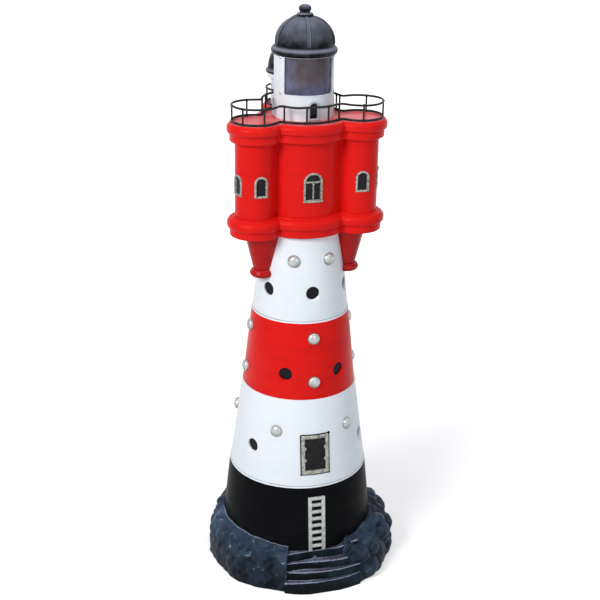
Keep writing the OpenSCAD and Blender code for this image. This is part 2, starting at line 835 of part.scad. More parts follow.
// ---- Windows and gallery doors, curved like the wall that holds them ----

module curved_layer(wall_r, out, in) {
    intersection() {
        lift(level[4]) tube(deck_z + lantern_h - level[4], wall_r + out, wall_r + in);
        children();
    }
}

module arch_block(w, h, z) {
    translate([0, 0, z]) rotate([90, 0, 0]) linear_extrude(height = FAR) arch(w, h);
}

module arch_frame(w, h, z, bar, wall_r) {
    curved_layer(wall_r, win_proud, win_proud - win_frame_t) difference() {
        arch_block(w - 2 * seat_gap, h - 2 * seat_gap, z + seat_gap);
        arch_block(w - 2 * bar, h - 2 * bar, z + bar);
    }
}

module arch_pane(w, h, z, wall_r) {
    curved_layer(wall_r, win_pane_out, win_pane_out - win_pane_t)
        arch_block(w - 2 * seat_gap, h - 2 * seat_gap, z + seat_gap);
}

module casement_frame() color("silver") {
    arch_frame(casement_w, casement_h, win_z, win_bar, house_r);
    curved_layer(house_r, win_proud - 0.4, win_proud - win_frame_t) intersection() {
        arch_block(casement_w - 2 * win_bar + 0.4, casement_h - 2 * win_bar + 0.4, win_z + win_bar - 0.2);
        union() {
            translate([-casement_w / 2, -FAR, win_z + casement_h - casement_w / 2 - glazing_bar / 2])
                cube([casement_w, FAR, glazing_bar]);
            translate([-glazing_bar / 2, -FAR, win_z]) cube([glazing_bar, FAR, casement_h - casement_w / 2]);
        }
    }
}

module casement_panes() color("black") arch_pane(casement_w, casement_h, win_z, house_r);

module oriel_frames(bearing) color("silver") outward(bearing, oriel_at)
    for (w = oriel_windows) rotate([0, 0, w])
        arch_frame(oriel_win_w, oriel_win_h, oriel_win_z, win_bar, oriel_r);

module oriel_panes(bearing) color("black") outward(bearing, oriel_at)
    for (w = oriel_windows) rotate([0, 0, w])
        arch_pane(oriel_win_w, oriel_win_h, oriel_win_z, oriel_r);

module left_oriel_frames() oriel_frames(-oriel_bearing);
module left_oriel_panes() oriel_panes(-oriel_bearing);
module right_oriel_frames() oriel_frames(oriel_bearing);
module right_oriel_panes() oriel_panes(oriel_bearing);
module rear_oriel_frames() oriel_frames(180);
module rear_oriel_panes() oriel_panes(180);

module gallery_door_frames() color("gainsboro") for (b = small_doors) rotate([0, 0, b])
    arch_frame(small_door_w, small_door_h, small_door_z, win_bar, lantern_r);

module gallery_door_leaves() color("black") for (b = small_doors) rotate([0, 0, b])
    arch_pane(small_door_w, small_door_h, small_door_z, lantern_r);

// ---- Railing ----

// The rails follow the deck: a round middle, three oriels and a small bend between them
bend_r = 6;
wire_trim = 0.4;
sleeve_l = 2.4;
to_bend = rail_r + bend_r;
oriel_to_bend = rail_oriel_r + bend_r;
bend_bearing = acos((to_bend * to_bend + oriel_at * oriel_at - oriel_to_bend * oriel_to_bend)
    / (2 * to_bend * oriel_at));
bend_local = acos((oriel_to_bend * oriel_to_bend + oriel_at * oriel_at - to_bend * to_bend)
    / (2 * oriel_to_bend * oriel_at));

// A length of bent wire round the local axis, from one bearing to another, less a hair at each end
module wire_arc(r, from, to) {
    trim = wire_trim / r * 180 / PI;
    rotate([0, 0, from + trim - 90]) rotate_extrude(angle = to - from - 2 * trim) translate([r, 0])
        circle(d = wire_d, $fn = 24);
}

// The short sleeve in which two lengths of wire are soldered
module wire_sleeve(r, bearing) {
    rotate([0, 0, bearing]) translate([-sleeve_l / 2, -r, 0]) rotate([0, 90, 0])
        cylinder(h = sleeve_l, d = wire_d + 0.5);
}

// A bend with the sleeves at its two ends
module wire_bend(from, to) {
    wire_arc(bend_r, from, to);
    for (a = [from, to]) wire_sleeve(bend_r, a);
}

module rail(z) color([0.08, 0.08, 0.08]) lift(z) {
    starts = [for (b = oriels) b + bend_bearing];
    ends = [oriels[1] - bend_bearing, oriels[2] - bend_bearing, oriels[0] + 360 - bend_bearing];
    for (k = [0:2]) wire_arc(rail_r, starts[k], ends[k]);
    for (b = oriels) {
        outward(b, oriel_at) wire_arc(rail_oriel_r, bend_local - 180, 180 - bend_local);
        outward(b + bend_bearing, to_bend) wire_bend(180, 360 - bend_bearing - bend_local);
        outward(b - bend_bearing, to_bend) wire_bend(bend_bearing + bend_local, 180);
    }
}

rail_low_z = deck_z + wire_d / 2 + 0.3;
post_bearings = [-11, 20.6, 110, 128, -110, -128];
post_at_bends = [for (b = oriels, side = [-1, 1]) b + side * bend_bearing];
oriel_posts = [[-100, -22, 27, 80], [-80, 0, 73], [-90, -30, 30, 90]];
post_r = 1.2;

module post() {
    lift(deck_z) cylinder(h = rail_h, r = post_r);
}

module bottom_rail() rail(rail_low_z);
module top_rail() rail(deck_z + rail_h);
module rail_posts() color([0.08, 0.08, 0.08]) {
    for (b = post_bearings) outward(b, rail_r) post();
    for (b = post_at_bends) outward(b, rail_r) post();
    for (k = [0:2], a = oriel_posts[k]) outward(oriels[k], oriel_at) outward(a, rail_oriel_r) post();
}

// ---- Lantern ----

// A sector of a ring: from one bearing to another, between two radii and two heights
module sector(from, to, r_in, r_out, z, h) {
    rotate([0, 0, from - 90]) rotate_extrude(angle = to - from)
        translate([r_in, z]) square([r_out - r_in, h]);
}

pane_screw_zs = [pane_z + screw_in, pane_z + pane_h - screw_in];

module lantern_housing() color("white") difference() {
    union() {
        lift(deck_z) tube(lantern_h, lantern_r, lantern_in_r);
        lift(deck_z) tube(lantern_flange, lantern_r - 1, lantern_spigot_in);
        lift(deck_z - lantern_spigot_h) tube(lantern_spigot_h + 1, lantern_spigot_r, lantern_spigot_in);
    }
    sector(-pane_half, pane_half, lantern_in_r - 2, lantern_r + 5, pane_z, pane_h);
    for (b = small_doors) rotate([0, 0, b]) window_hole(small_door_w, small_door_h, small_door_z, lantern_r);
    for (side = [-1, 1], z = pane_screw_zs) radial(side * screw_bearing, z, lantern_in_r - 3)
        cylinder(h = 10, r = pane_screw_r + 0.1);
}

module lantern_pane() color([0.4, 0.4, 0.45, 0.6]) difference() {
    sector(-pane_half - pane_side_lap, pane_half + pane_side_lap, pane_out_r - pane_t, pane_out_r,
        pane_z - pane_lap, pane_h + 2 * pane_lap);
    for (side = [-1, 1], z = pane_screw_zs) radial(side * screw_bearing, z, lantern_in_r - 6)
        cylinder(h = 10, r = pane_screw_r + 0.1);
}

module pane_screws() color("silver") for (side = [-1, 1], z = pane_screw_zs)
    radial(side * screw_bearing, z, lantern_r + 0.1) {
        cylinder(h = 1, r = pane_screw_head_r);
        lift(-7) cylinder(h = 7.5, r = pane_screw_r);
    }

// ---- Dome ----

// Half profile of a dome whose curve has radius r round the point (off, mid_z), above foot_z
module dome_half(r, off, mid_z, foot_z) {
    intersection() {
        union() {
            translate([off, mid_z]) circle(r = r);
            translate([0, mid_z - r]) square([off, 2 * r]);
        }
        translate([0, foot_z]) square([off + r + 1, FAR]);
    }
}

module dome_solid(grow) {
    rotate_extrude() dome_half(dome_curve_r + grow, dome_off, dome_mid_z, dome_seat_z);
}

module dome_shell() color([0.1, 0.1, 0.12]) difference() {
    union() {
        dome_solid(0);
        lift(dome_low_z) cylinder(h = rim_h, r = rim_r - rim_h / 2);
        lift(dome_low_z + rim_h / 2) rotate_extrude() translate([rim_r - rim_h / 2, 0]) circle(d = rim_h);
        intersection() {
            dome_solid(rib_proud);
            for (k = [0:ribs - 1]) rotate([0, 0, rib_start + 360 * k / ribs])
                translate([-rib_w / 2, -dome_r - 5, dome_seat_z]) cube([rib_w, dome_r + 5, FAR]);
        }
    }
    lift(dome_low_z - EPS) cylinder(h = dome_seat_z - dome_low_z + EPS, r = lantern_r + dome_skirt_gap);
    dome_solid(-dome_wall);
    lift(dome_top_z - 6) cylinder(h = 12, r = finial_shank_r + 0.1);
    lift(dome_top_z - 0.6) cylinder(h = 6, r = collar_r + 0.1);
}

module dome_finial() color([0.08, 0.08, 0.1]) lift(dome_top_z - 0.6) {
    round_rim(collar_r, collar_h, 1.5, 1.5);
    lift(collar_h - 0.5) cylinder(h = finial_neck_h + 0.5, r = finial_neck_r - 1);
    lift(collar_h + finial_neck_h + ball_up) intersection() {
        sphere(r = ball_r);
        lift(-ball_up) cylinder(h = 20, r = ball_r + 1);
    }
    lift(-finial_shank_l) cylinder(h = finial_shank_l + 0.5, r = finial_shank_r);
}

// ---- Turret on the rear oriel ----

module at_turret() outward(180, oriel_at) children();

module turret_housing() color("white") at_turret() difference() {
    union() {
        lift(deck_z) cylinder(h = turret_h, r = turret_r);
        lift(turret_top_z - turret_cornice_h) {
            cylinder(h = turret_cove_h, r1 = turret_r + 1, r2 = turret_rim_r);
            lift(turret_cove_h) cylinder(h = turret_cornice_h - turret_cove_h, r = turret_rim_r);
        }
    }
    lift(deck_z - EPS) cylinder(h = turret_h + 2 * EPS, r = turret_r - turret_wall);
}

// The turret's dome is half an ellipsoid that starts inside its rim. An inset makes its hollow
module turret_curve(inset) {
    lift(turret_top_z + turret_rim_h - 1) rotate_extrude() polygon([[0, 0], for (a = [0:6:90])
        [(turret_dome_r - inset) * cos(a), (turret_dome_h + 1 - inset) * sin(a)]]);
}

module turret_dome() color([0.1, 0.1, 0.12]) at_turret() difference() {
    top_z = turret_top_z + turret_rim_h + turret_dome_h;
    union() {
        lift(turret_top_z) {
            cylinder(h = turret_rim_h, r = turret_ring_r);
            lift(turret_rim_h / 2) rotate_extrude() translate([turret_ring_r, 0]) circle(d = turret_rim_h);
        }
        turret_curve(0);
        lift(top_z - 1) cylinder(h = turret_button_h + 1, r = turret_button_r);
        lift(top_z + turret_button_h + turret_button_r / 2) sphere(r = turret_button_r - 1);
    }
    turret_curve(turret_wall);
    lift(turret_top_z - EPS) cylinder(h = turret_rim_h + EPS, r = turret_r - turret_wall);
}

// ---- Light and drive ----

plate_screw_bearings = [45, 135, 225, 315];
plate_screw_at = (hollow_r + mech_r) / 2;
motor_screw_at = motor_r - 5;
motor_screw_bearings = [90, 270];
plate_screw_l = 9;
motor_screw_l = 8;

module at_motor() translate([0, motor_at, 0]) children();

module mechanism_plate() color("gainsboro") lift(mech_z) difference() {
    cylinder(h = mech_t, r = mech_r);
    lift(-EPS) cylinder(h = FAR, r = pillar_bore_r);
    for (b = plate_screw_bearings) outward(b, plate_screw_at) lift(-EPS) cylinder(h = FAR, r = m3_r + 0.1);
    at_motor() for (b = motor_screw_bearings) outward(b, motor_screw_at)
        lift(-EPS) cylinder(h = FAR, r = m3_r + 0.1);
}

module mechanism_screws() color("silver") {
    for (b = plate_screw_bearings) outward(b, plate_screw_at)
        lift(mech_top + m3_head_h) mirror([0, 0, 1]) screw(plate_screw_l);
    at_motor() for (b = motor_screw_bearings) outward(b, motor_screw_at)
        lift(mech_z - m3_head_h) screw(motor_screw_l);
}

module lamp_pillar() color("lightgray") difference() {
    union() {
        lift(mech_top) cylinder(h = pillar_top - mech_top, r = pillar_r);
        lift(mech_top) cylinder(h = pillar_foot_h, r = pillar_r + pillar_foot_out);
        lift(collar_z) cylinder(h = thrust_collar_h, r = collar_out_r);
    }
    lift(mech_top - EPS) cylinder(h = FAR, r = pillar_bore_r);
}

module thrust_washer() color("ivory") lift(collar_z + thrust_collar_h)
    tube(thrust_t, collar_out_r, pillar_r + 0.1);

module beacon_rotor() color("gray") {
    difference() {
        union() {
            lift(rotor_z) cylinder(h = table_z - rotor_z + table_t, r = rotor_out_r);
            lift(table_z) cylinder(h = table_t, r = table_r);
            lift(gear_z + gear_w) cylinder(h = rotor_shoulder_h, r = rotor_out_r + rotor_shoulder);
        }
        lift(rotor_z - EPS) cylinder(h = FAR, r = rotor_in_r);
    }
}

module beacon_bushes() color("goldenrod") for (z = [rotor_z, table_z + table_t - bush_l])
    lift(z) tube(bush_l, rotor_in_r, pillar_r + run_gap);

module reflector() color("lightsteelblue")
    sector(180 - reflector_sweep / 2, 180 + reflector_sweep / 2, reflector_r - reflector_t, reflector_r,
        table_z + table_t, dome_seat_z - reflector_below - table_z - table_t);

// Involute gear outline, with a tooth centred on +X
function involute(a) = (tan(a) - a * PI / 180) * 180 / PI;
function flank(base_r, a) = [base_r / cos(a), involute(a)];
function polar(r, a) = [r * cos(a), r * sin(a)];

module gear_outline(teeth) {
    r = gear_module * teeth / 2;
    base_r = r * cos(pressure);
    half = 90 / teeth - backlash / 2 / r * 180 / PI + involute(pressure);
    tip_a = acos(base_r / (r + addendum));
    root_r = r - dedendum;
    start_a = root_r > base_r ? acos(base_r / root_r) : 0;
    steps = 4;
    side = [for (k = [0:steps]) flank(base_r, start_a + (tip_a - start_a) * k / steps)];
    polygon([for (t = [0:teeth - 1]) let (c = 360 * t / teeth)
        each concat([polar(min(root_r, base_r), c - half + side[0][1])],
        [for (k = [0:steps]) polar(side[k][0], c - half + side[k][1])],
        [for (k = [steps:-1:0]) polar(side[k][0], c + half - side[k][1])],
        [polar(min(root_r, base_r), c + half - side[0][1])])]);
}

module ring_gear() color("ivory") lift(gear_z) difference() {
    linear_extrude(height = gear_w) gear_outline(ring_teeth);
    lift(-EPS) cylinder(h = FAR, r = rotor_out_r);
}

module drive_pinion() color("ivory") at_motor() {
    lift(gear_z - 0.5) rotate([0, 0, -90 + 180 / pinion_teeth]) linear_extrude(height = gear_w + 1)
        gear_outline(pinion_teeth);
    lift(mech_top + motor_h - 10) cylinder(h = gear_z - mech_top - motor_h + 10, r = motor_shaft_r);
}

module drive_motor() color("darkgray") at_motor() lift(mech_top) difference() {
    union() {
        cylinder(h = motor_h, r = motor_r);
        lift(motor_h - 1) cylinder(h = motor_boss_h + 1, r = motor_boss_r);
    }
    lift(motor_h - 11) cylinder(h = FAR, r = motor_shaft_r + run_gap);
    for (b = motor_screw_bearings) outward(b, motor_screw_at) lift(-EPS) cylinder(h = 6 + EPS, r = m3_r);
}

module lampholder() color("whitesmoke") lift(pillar_top) difference() {
    union() {
        cylinder(h = holder_h, r = holder_r);
        lift(-10) cylinder(h = 10.5, r = pillar_bore_r - 0.1);
    }
    lift(holder_h - cap_l - 1) cylinder(h = FAR, r = cap_r + 0.1);
    lift(-11) cylinder(h = FAR, r = 4);
}

module bulb() color("white") lift(bulb_z) {
    lift(-cap_l) cylinder(h = cap_l + 0.5, r = cap_r);
    lift(0.1) cylinder(h = bulb_l - bulb_r, r = bulb_r);
    lift(bulb_l - bulb_r) sphere(r = bulb_r);
}

// ---- The assembly ----

rock_base();
base_plate();
base_screws();
gland_body();
gland_locknut();
gland_seal();
gland_cap();
terminal_box();
black_section();
lower_white_section();
red_section();
upper_white_section();
lower_portholes();
middle_portholes();
upper_portholes();
lower_studs();
middle_studs();
upper_studs();
door_frame();
door_leaf();
ladder();
left_corbel();
right_corbel();
rear_corbel();
gallery_floor();
gallery_wall();
gallery_deck();
casement_frame();
casement_panes();
left_oriel_frames();
left_oriel_panes();
right_oriel_frames();
right_oriel_panes();
rear_oriel_frames();
rear_oriel_panes();
bottom_rail();
top_rail();
rail_posts();
lantern_housing();
lantern_pane();
pane_screws();
gallery_door_frames();
gallery_door_leaves();
dome_shell();
dome_finial();
turret_housing();
turret_dome();
mechanism_plate();
mechanism_screws();
lamp_pillar();
thrust_washer();
lampholder();
bulb();
beacon_rotor();
beacon_bushes();
ring_gear();
reflector();
drive_motor();
drive_pinion();
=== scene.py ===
# %% [markdown]
# # A garden lighthouse with a turning beacon
#
# The real ornament is a stack of cast and painted mouldings: a rock base, four tower sections, a gallery
# house on three oriels, a lantern and a dome. This lesson dresses its construction model for a photograph.
# Every piece is made from the sizes of the construction model, so nothing has to be fitted afterwards.

# %% Load the frame
import json
import math

import bmesh
import bpy
import numpy as np
from mathutils import Matrix, Vector


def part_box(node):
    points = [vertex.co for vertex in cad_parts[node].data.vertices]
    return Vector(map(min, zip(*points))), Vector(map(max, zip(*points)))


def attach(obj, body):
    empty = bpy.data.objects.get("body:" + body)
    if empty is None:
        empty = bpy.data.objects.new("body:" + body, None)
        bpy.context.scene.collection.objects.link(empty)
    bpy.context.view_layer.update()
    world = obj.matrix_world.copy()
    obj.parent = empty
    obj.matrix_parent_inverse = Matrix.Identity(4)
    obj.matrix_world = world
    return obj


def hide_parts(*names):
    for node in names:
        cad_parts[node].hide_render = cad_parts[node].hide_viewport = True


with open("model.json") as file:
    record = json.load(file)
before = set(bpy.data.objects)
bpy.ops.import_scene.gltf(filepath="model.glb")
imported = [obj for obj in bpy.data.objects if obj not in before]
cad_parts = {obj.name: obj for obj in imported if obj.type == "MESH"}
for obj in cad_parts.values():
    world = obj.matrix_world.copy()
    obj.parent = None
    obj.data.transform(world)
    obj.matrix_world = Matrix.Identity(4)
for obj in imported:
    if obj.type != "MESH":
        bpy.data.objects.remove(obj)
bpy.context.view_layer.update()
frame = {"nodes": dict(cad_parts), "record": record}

MM = 0.001
nodes = frame["nodes"]

# %% [markdown]
# ## The sizes that everything shares
#
# Levels and radii are read from the boxes of the construction's nodes. What a box can't tell, such as how
# far a moulding stands out of a wall, is a named size here. A bearing is an angle round the tower, 0 at the
# door and positive to the right of somebody who faces it.

# %% Sizes of the tower and the gallery
SECTIONS = ["black_section", "lower_white_section", "red_section", "upper_white_section"]
LEDGE = 0.9
NECK_R = 54.0
WALL = 3.2
ORIEL_BEARING = 72.0
ORIELS = [-ORIEL_BEARING, ORIEL_BEARING, 180.0]
ORIEL_R = 27.0


def low(name):
    """Lowest corner of a construction node, in millimetres."""
    return np.array(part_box(name)[0]) / MM


def high(name):
    """Highest corner of a construction node, in millimetres."""
    return np.array(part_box(name)[1]) / MM


line_z = [low(name)[2] for name in SECTIONS + ["gallery_floor"]]
foot_r = [high(name)[0] for name in SECTIONS]
top_r = [r + LEDGE for r in foot_r[1:]] + [NECK_R]
house_r = round(-low("gallery_wall")[1], 1)
oriel_at = round(high("gallery_wall")[1] - ORIEL_R, 1)
floor_z, wall_z = low("gallery_floor")[2], high("gallery_floor")[2]
cornice_z, deck_z = low("gallery_deck")[2], high("gallery_deck")[2]
lantern_r = round(high("lantern_housing")[0], 1)
dome_seat_z = high("lantern_housing")[2]


def section_r(i, z):
    """Outer radius of tower section i at a height."""
    share = (z - line_z[i]) / (line_z[i + 1] - line_z[i])
    return foot_r[i] + (top_r[i] - foot_r[i]) * share


def bearing_vector(bearing):
    """Unit vector that points outwards from the axis at a bearing."""
    turn = math.radians(bearing)
    return Vector((math.sin(turn), -math.cos(turn), 0))


def linked(name, data):
    """A new object of the scene."""
    obj = bpy.data.objects.new(name, data)
    bpy.context.scene.collection.objects.link(obj)
    return obj


print("colour lines", np.round(line_z, 1), "radii", np.round(foot_r, 1), "house", house_r)

# %% [markdown]
# ## The camera
#
# The photograph was taken from a crouch, 1.6 m away and a metre above the ground, a little to the left of
# the door, and the camera leaned by one degree. A perspective is fixed by where the camera stands, so the
# camera is placed by those measurements and not by eye.

# %% Place the camera
CAMERA_DISTANCE = 1583.0
CAMERA_HEIGHT = 1023.0
CAMERA_BEARING = -16.0
CAMERA_PITCH = 21.69
CAMERA_ROLL = 1.0
PHOTO_SIDE = 600
FOCAL_PIXELS = 1218.0
SENSOR = 36.0
pitch, roll = math.radians(CAMERA_PITCH), math.radians(CAMERA_ROLL)
outwards = bearing_vector(CAMERA_BEARING)
level_right = Vector((-outwards.y, outwards.x, 0))
forward = -outwards * math.cos(pitch) - Vector((0, 0, math.sin(pitch)))
level_up = level_right.cross(forward)
right = level_right * math.cos(roll) + level_up * math.sin(roll)
up = level_up * math.cos(roll) - level_right * math.sin(roll)
camera = linked("camera", bpy.data.cameras.new("camera"))
camera.data.sensor_width = SENSOR
camera.data.lens = SENSOR * FOCAL_PIXELS / PHOTO_SIDE
place = (outwards * CAMERA_DISTANCE + Vector((0, 0, CAMERA_HEIGHT))) * MM
camera.matrix_world = Matrix.Translation(place) @ Matrix((right, up, -forward)).transposed().to_4x4()
bpy.context.scene.camera = camera
print("camera at", [round(v, 3) for v in place], "lens", round(camera.data.lens, 2))

# %% [markdown]
# ## Nodes without clutter
#
# A material and a Geometry Nodes tree are both graphs. One short helper adds a node, sets its options and
# feeds its inputs, either with a value or with another node's output, so that each effect below reads like
# a formula.

# %% A helper for node graphs


def node(tree, kind, options=None, feed=None):
    """Adds a node. feed maps an input's name or number to a value or to the socket that drives it."""
    made = tree.nodes.new(kind)
    for key, value in (options or {}).items():
        setattr(made, key, value)
    for key, value in (feed or {}).items():
        if isinstance(value, bpy.types.NodeSocket):
            tree.links.new(value, made.inputs[key])
        else:
            made.inputs[key].default_value = value
    return made


def new_tree(name, kind, inputs, outputs):
    """An empty tree with its inputs and outputs. Each socket is (name, type) or (name, type, value)."""
    tree = bpy.data.node_groups.new(name, kind)
    for way, sockets in (("INPUT", inputs), ("OUTPUT", outputs)):
        for title, socket_type, *value in sockets:
            socket = tree.interface.new_socket(title, in_out=way, socket_type="NodeSocket" + socket_type)
            if value:
                socket.default_value = value[0]
    return tree, tree.nodes.new("NodeGroupInput").outputs, tree.nodes.new("NodeGroupOutput").inputs


def maths(tree, operation, a, b, clamp=False):
    """A Math node's result."""
    return node(tree, "ShaderNodeMath", {"operation": operation, "use_clamp": clamp}, {0: a, 1: b}).outputs[0]


def times(tree, a, b):
    """a times b."""
    return maths(tree, "MULTIPLY", a, b)


def plus(tree, a, b, clamp=False):
    """a plus b."""
    return maths(tree, "ADD", a, b, clamp)


def blend(tree, share, *colours):
    """A colour between two colours, each a socket or three numbers."""
    a, b = [(*c, 1) if isinstance(c, tuple) else c for c in colours]
    return node(tree, "ShaderNodeMix", {"data_type": "RGBA"}, {0: share, 6: a, 7: b}).outputs[2]


def ramp(tree, value, start, end, low_value=0.0, high_value=1.0):
    """Maps start..end to low..high, without running past them."""
    feed = {0: value, 1: start, 2: end, 3: low_value, 4: high_value}
    return node(tree, "ShaderNodeMapRange", {"clamp": True}, feed).outputs[0]


def speckle(tree, vector, scale, detail=2.0, stretch=(1, 1, 1)):
    """Noise, finer along an axis where stretch is larger."""
    moved = node(tree, "ShaderNodeMapping", {"vector_type": "POINT"}, {"Vector": vector, "Scale": stretch})
    feed = {"Vector": moved.outputs[0], "Scale": scale, "Detail": detail}
    return node(tree, "ShaderNodeTexNoise", None, feed).outputs[0]


def height_of(tree, vector):
    """The z of a vector."""
    return node(tree, "ShaderNodeSeparateXYZ", None, {0: vector}).outputs[2]


def facing_up(tree):
    """The z of the surface's normal."""
    return height_of(tree, node(tree, "ShaderNodeNewGeometry").outputs["Normal"])


def attribute(tree, name):
    """A number that the mesh carries."""
    return node(tree, "ShaderNodeAttribute", {"attribute_name": name}).outputs["Fac"]


# %% [markdown]
# ## Effects that several finishes share
#
# Brushed enamel is never one flat colour. It is thinner on the brush's streaks, it lies in a fine orange
# peel, and it grows dull in patches. The group below gives all three from one place, and each paint sets
# its own colours and strengths. The second group gives painted shade by darkening what faces down, and
# adds patches of dirt.

# %% Shader group: brushed enamel
RESULTS = [("Colour", "Color"), ("Roughness", "Float"), ("Height", "Float")]
enamel, at, to = new_tree("Brushed enamel", "ShaderNodeTree", [
    ("Place", "Vector"), ("Colour", "Color"), ("Thin colour", "Color"), ("Streaks", "Float", 0.5),
    ("Patches", "Float", 0.3), ("Roughness", "Float", 0.3)], RESULTS)
streak = speckle(enamel, at["Place"], 9.0, 3.0, (1, 1, 26))
patch = speckle(enamel, at["Place"], 16.0, 4.0)
peel = speckle(enamel, at["Place"], 520.0)
thin = plus(enamel, times(enamel, ramp(enamel, streak, 0.48, 0.78), at["Streaks"]),
            times(enamel, ramp(enamel, patch, 0.45, 0.8), at["Patches"]), True)
enamel.links.new(blend(enamel, thin, at["Colour"], at["Thin colour"]), to["Colour"])
dull = ramp(enamel, patch, 0.3, 0.75, -0.06, 0.1)
enamel.links.new(plus(enamel, at["Roughness"], dull, True), to["Roughness"])
enamel.links.new(plus(enamel, times(enamel, peel, 0.3), times(enamel, streak, 0.7)), to["Height"])

# %% Shader group: painted shade on undersides, and dirt in patches
shade_and_dirt, at, to = new_tree("Underside shade and grime", "ShaderNodeTree", [
    ("Place", "Vector"), ("Underside", "Float", 0.5), ("Patches", "Float", 0.2), ("Scale", "Float", 60.0)],
    [("Mask", "Float")])
blotch = speckle(shade_and_dirt, at["Place"], at["Scale"], 5.0)
# Painted shade: what faces down is darkened, broken up by blotches.
under = times(shade_and_dirt, ramp(shade_and_dirt, facing_up(shade_and_dirt), 0.25, -0.75), ramp(shade_and_dirt, blotch, 0.2, 0.6))
spots = times(shade_and_dirt, ramp(shade_and_dirt, blotch, 0.56, 0.72), at["Patches"])
shade_and_dirt.links.new(plus(shade_and_dirt, times(shade_and_dirt, under, at["Underside"]), spots, True), to["Mask"])
print("shader groups", [g.name for g in bpy.data.node_groups])

# %% [markdown]
# ## The finishes
#
# One function starts a material: it makes the shader, and gives back the graph, the Object coordinates and
# the shader. What is the same all over a surface is set on the shader itself. What changes over the surface
# comes from the groups.

# %% Helpers for materials
materials = {}


def start_material(name, **constants):
    """A new material with its shader. constants are set on the shader's own sockets."""
    material = bpy.data.materials.new(name)
    material.use_nodes = True
    shader = material.node_tree.nodes["Principled BSDF"]
    for key, value in constants.items():
        shader.inputs[key.replace("_", " ")].default_value = value
    materials[name] = material
    return material.node_tree, node(material.node_tree, "ShaderNodeTexCoord").outputs["Object"], shader


def coat(tree, shader, colour, roughness, height=None, depth=0.0):
    """Feeds a colour, a roughness and a height to a shader. depth is in millimetres."""
    tree.links.new(colour, shader.inputs["Base Color"])
    tree.links.new(roughness, shader.inputs["Roughness"])
    if height:
        relief = node(tree, "ShaderNodeBump", None,
                      {"Height": height, "Distance": depth * MM, "Strength": 1.0})
        tree.links.new(relief.outputs[0], shader.inputs["Normal"])


LINE_EDGE = 0.15
LINE_WAVER = 0.25


def painted(name, colour, thin_colour, streaks, patches, roughness, depth, underside_shade, specular,
            lines=(), top=None):
    """An enamel finish. lines are painted round the tower, each (lowest, highest, colour). top is the
    colour of a painted highlight that lies in patches on what faces up. The argument after depth sets how
    much what faces down is darkened, as painted shade."""
    tree, place, shader = start_material(name, Specular_IOR_Level=specular)
    feed = {"Place": place, "Colour": (*colour, 1), "Thin colour": (*thin_colour, 1), "Streaks": streaks,
            "Patches": patches, "Roughness": roughness}
    paint = node(tree, "ShaderNodeGroup", {"node_tree": enamel}, feed).outputs
    feed = {"Place": place, "Underside": underside_shade, "Patches": 0.0}
    shade_and_dirt_mask = node(tree, "ShaderNodeGroup", {"node_tree": shade_and_dirt}, feed).outputs[0]
    # Painted shade: what faces down is darkened towards a quarter of the colour.
    shown = blend(tree, shade_and_dirt_mask, paint["Colour"], tuple(0.25 * c for c in colour))
    # Painted highlight: what faces up turns to the top colour in patches.
    if top:
        level = ramp(tree, facing_up(tree), 0.85, 0.99)
        painted_highlight = ramp(tree, speckle(tree, place, 38.0, 5.0), 0.3, 0.72, 0.25, 1.0)
        shown = blend(tree, times(tree, level, painted_highlight), shown, top)
    for lowest, highest, line_colour in lines:
        waver = ramp(tree, speckle(tree, place, 40.0), 0.3, 0.7, -LINE_WAVER * MM, LINE_WAVER * MM)
        rise = plus(tree, height_of(tree, place), waver)
        above = ramp(tree, rise, (lowest - LINE_EDGE) * MM, (lowest + LINE_EDGE) * MM)
        below = ramp(tree, rise, (highest + LINE_EDGE) * MM, (highest - LINE_EDGE) * MM)
        shown = blend(tree, times(tree, above, below), shown, line_colour)
    coat(tree, shader, shown, paint["Roughness"], paint["Height"], depth)


# %% [markdown]
# ### The enamels of the tower
#
# The white is a cool white, the red is a signal red that turns darker where it is thin, and the black of
# the tower's foot is deep enough to swallow most of the room's light. Where two sections meet, a thin line
# of painted shadow lies at the white section's foot, and the white runs on over the ledge below it, so the
# black and red sections have a white line along their top edge.

# %% Enamels
WHITE, THIN_WHITE = (0.78, 0.835, 0.895), (0.71, 0.775, 0.84)
RED, THIN_RED = (0.70, 0.010, 0.008), (0.50, 0.006, 0.008)
JOINT_SHADOW = (0.07, 0.045, 0.05)
OVERRUN = 1.9
# A thin dark line of painted shadow at the foot of each white section, where it meets the ledge.
joint_shadows = [(line_z[i] - 1, line_z[i] + 0.7, JOINT_SHADOW) for i in (1, 3)]
edges = {i: [(line_z[i] - OVERRUN, line_z[i] + 9, WHITE)] for i in (1, 3)}
painted("white_enamel", WHITE, THIN_WHITE, 0.5, 0.3, 0.36, 0.10, 0.3, 0.3)
painted("white_band_enamel", WHITE, THIN_WHITE, 0.4, 0.3, 0.36, 0.10, 0.3, 0.3, joint_shadows)
painted("red_enamel", RED, THIN_RED, 0.25, 0.3, 0.32, 0.12, 0.3, 0.08)
# The corbels' red is darkened as painted shade, and what faces up on them carries a painted highlight.
painted("corbel_enamel", (0.44, 0.007, 0.006), THIN_RED, 0.25, 0.3, 0.28, 0.12, 0.5, 0.12,
        top=(0.78, 0.12, 0.13))
# The deck's top faces carry a painted reflection of the sky in pinkish patches.
painted("deck_enamel", RED, THIN_RED, 0.25, 0.3, 0.3, 0.12, 0.3, 0.1, top=(0.80, 0.19, 0.21))
painted("red_band_enamel", RED, THIN_RED, 0.4, 0.4, 0.32, 0.14, 0.2, 0.07, edges[3])
painted("black_enamel", (0.0035, 0.0038, 0.0045), (0.008, 0.008, 0.009), 0.6, 0.5, 0.34, 0.12, 0.0, 0.02,
        edges[1])
painted("porthole_black", (0.004, 0.004, 0.006), (0.012, 0.012, 0.014), 0.3, 0.6, 0.42, 0.1, 0.0, 0.1)
painted("wire_black", (0.006, 0.006, 0.007), (0.02, 0.02, 0.022), 0.2, 0.6, 0.32, 0.05, 0.0, 0.2)
painted("door_white", (0.50, 0.53, 0.56), (0.36, 0.38, 0.41), 0.4, 0.6, 0.4, 0.1, 0.4, 0.3)
print("enamels", sorted(materials))
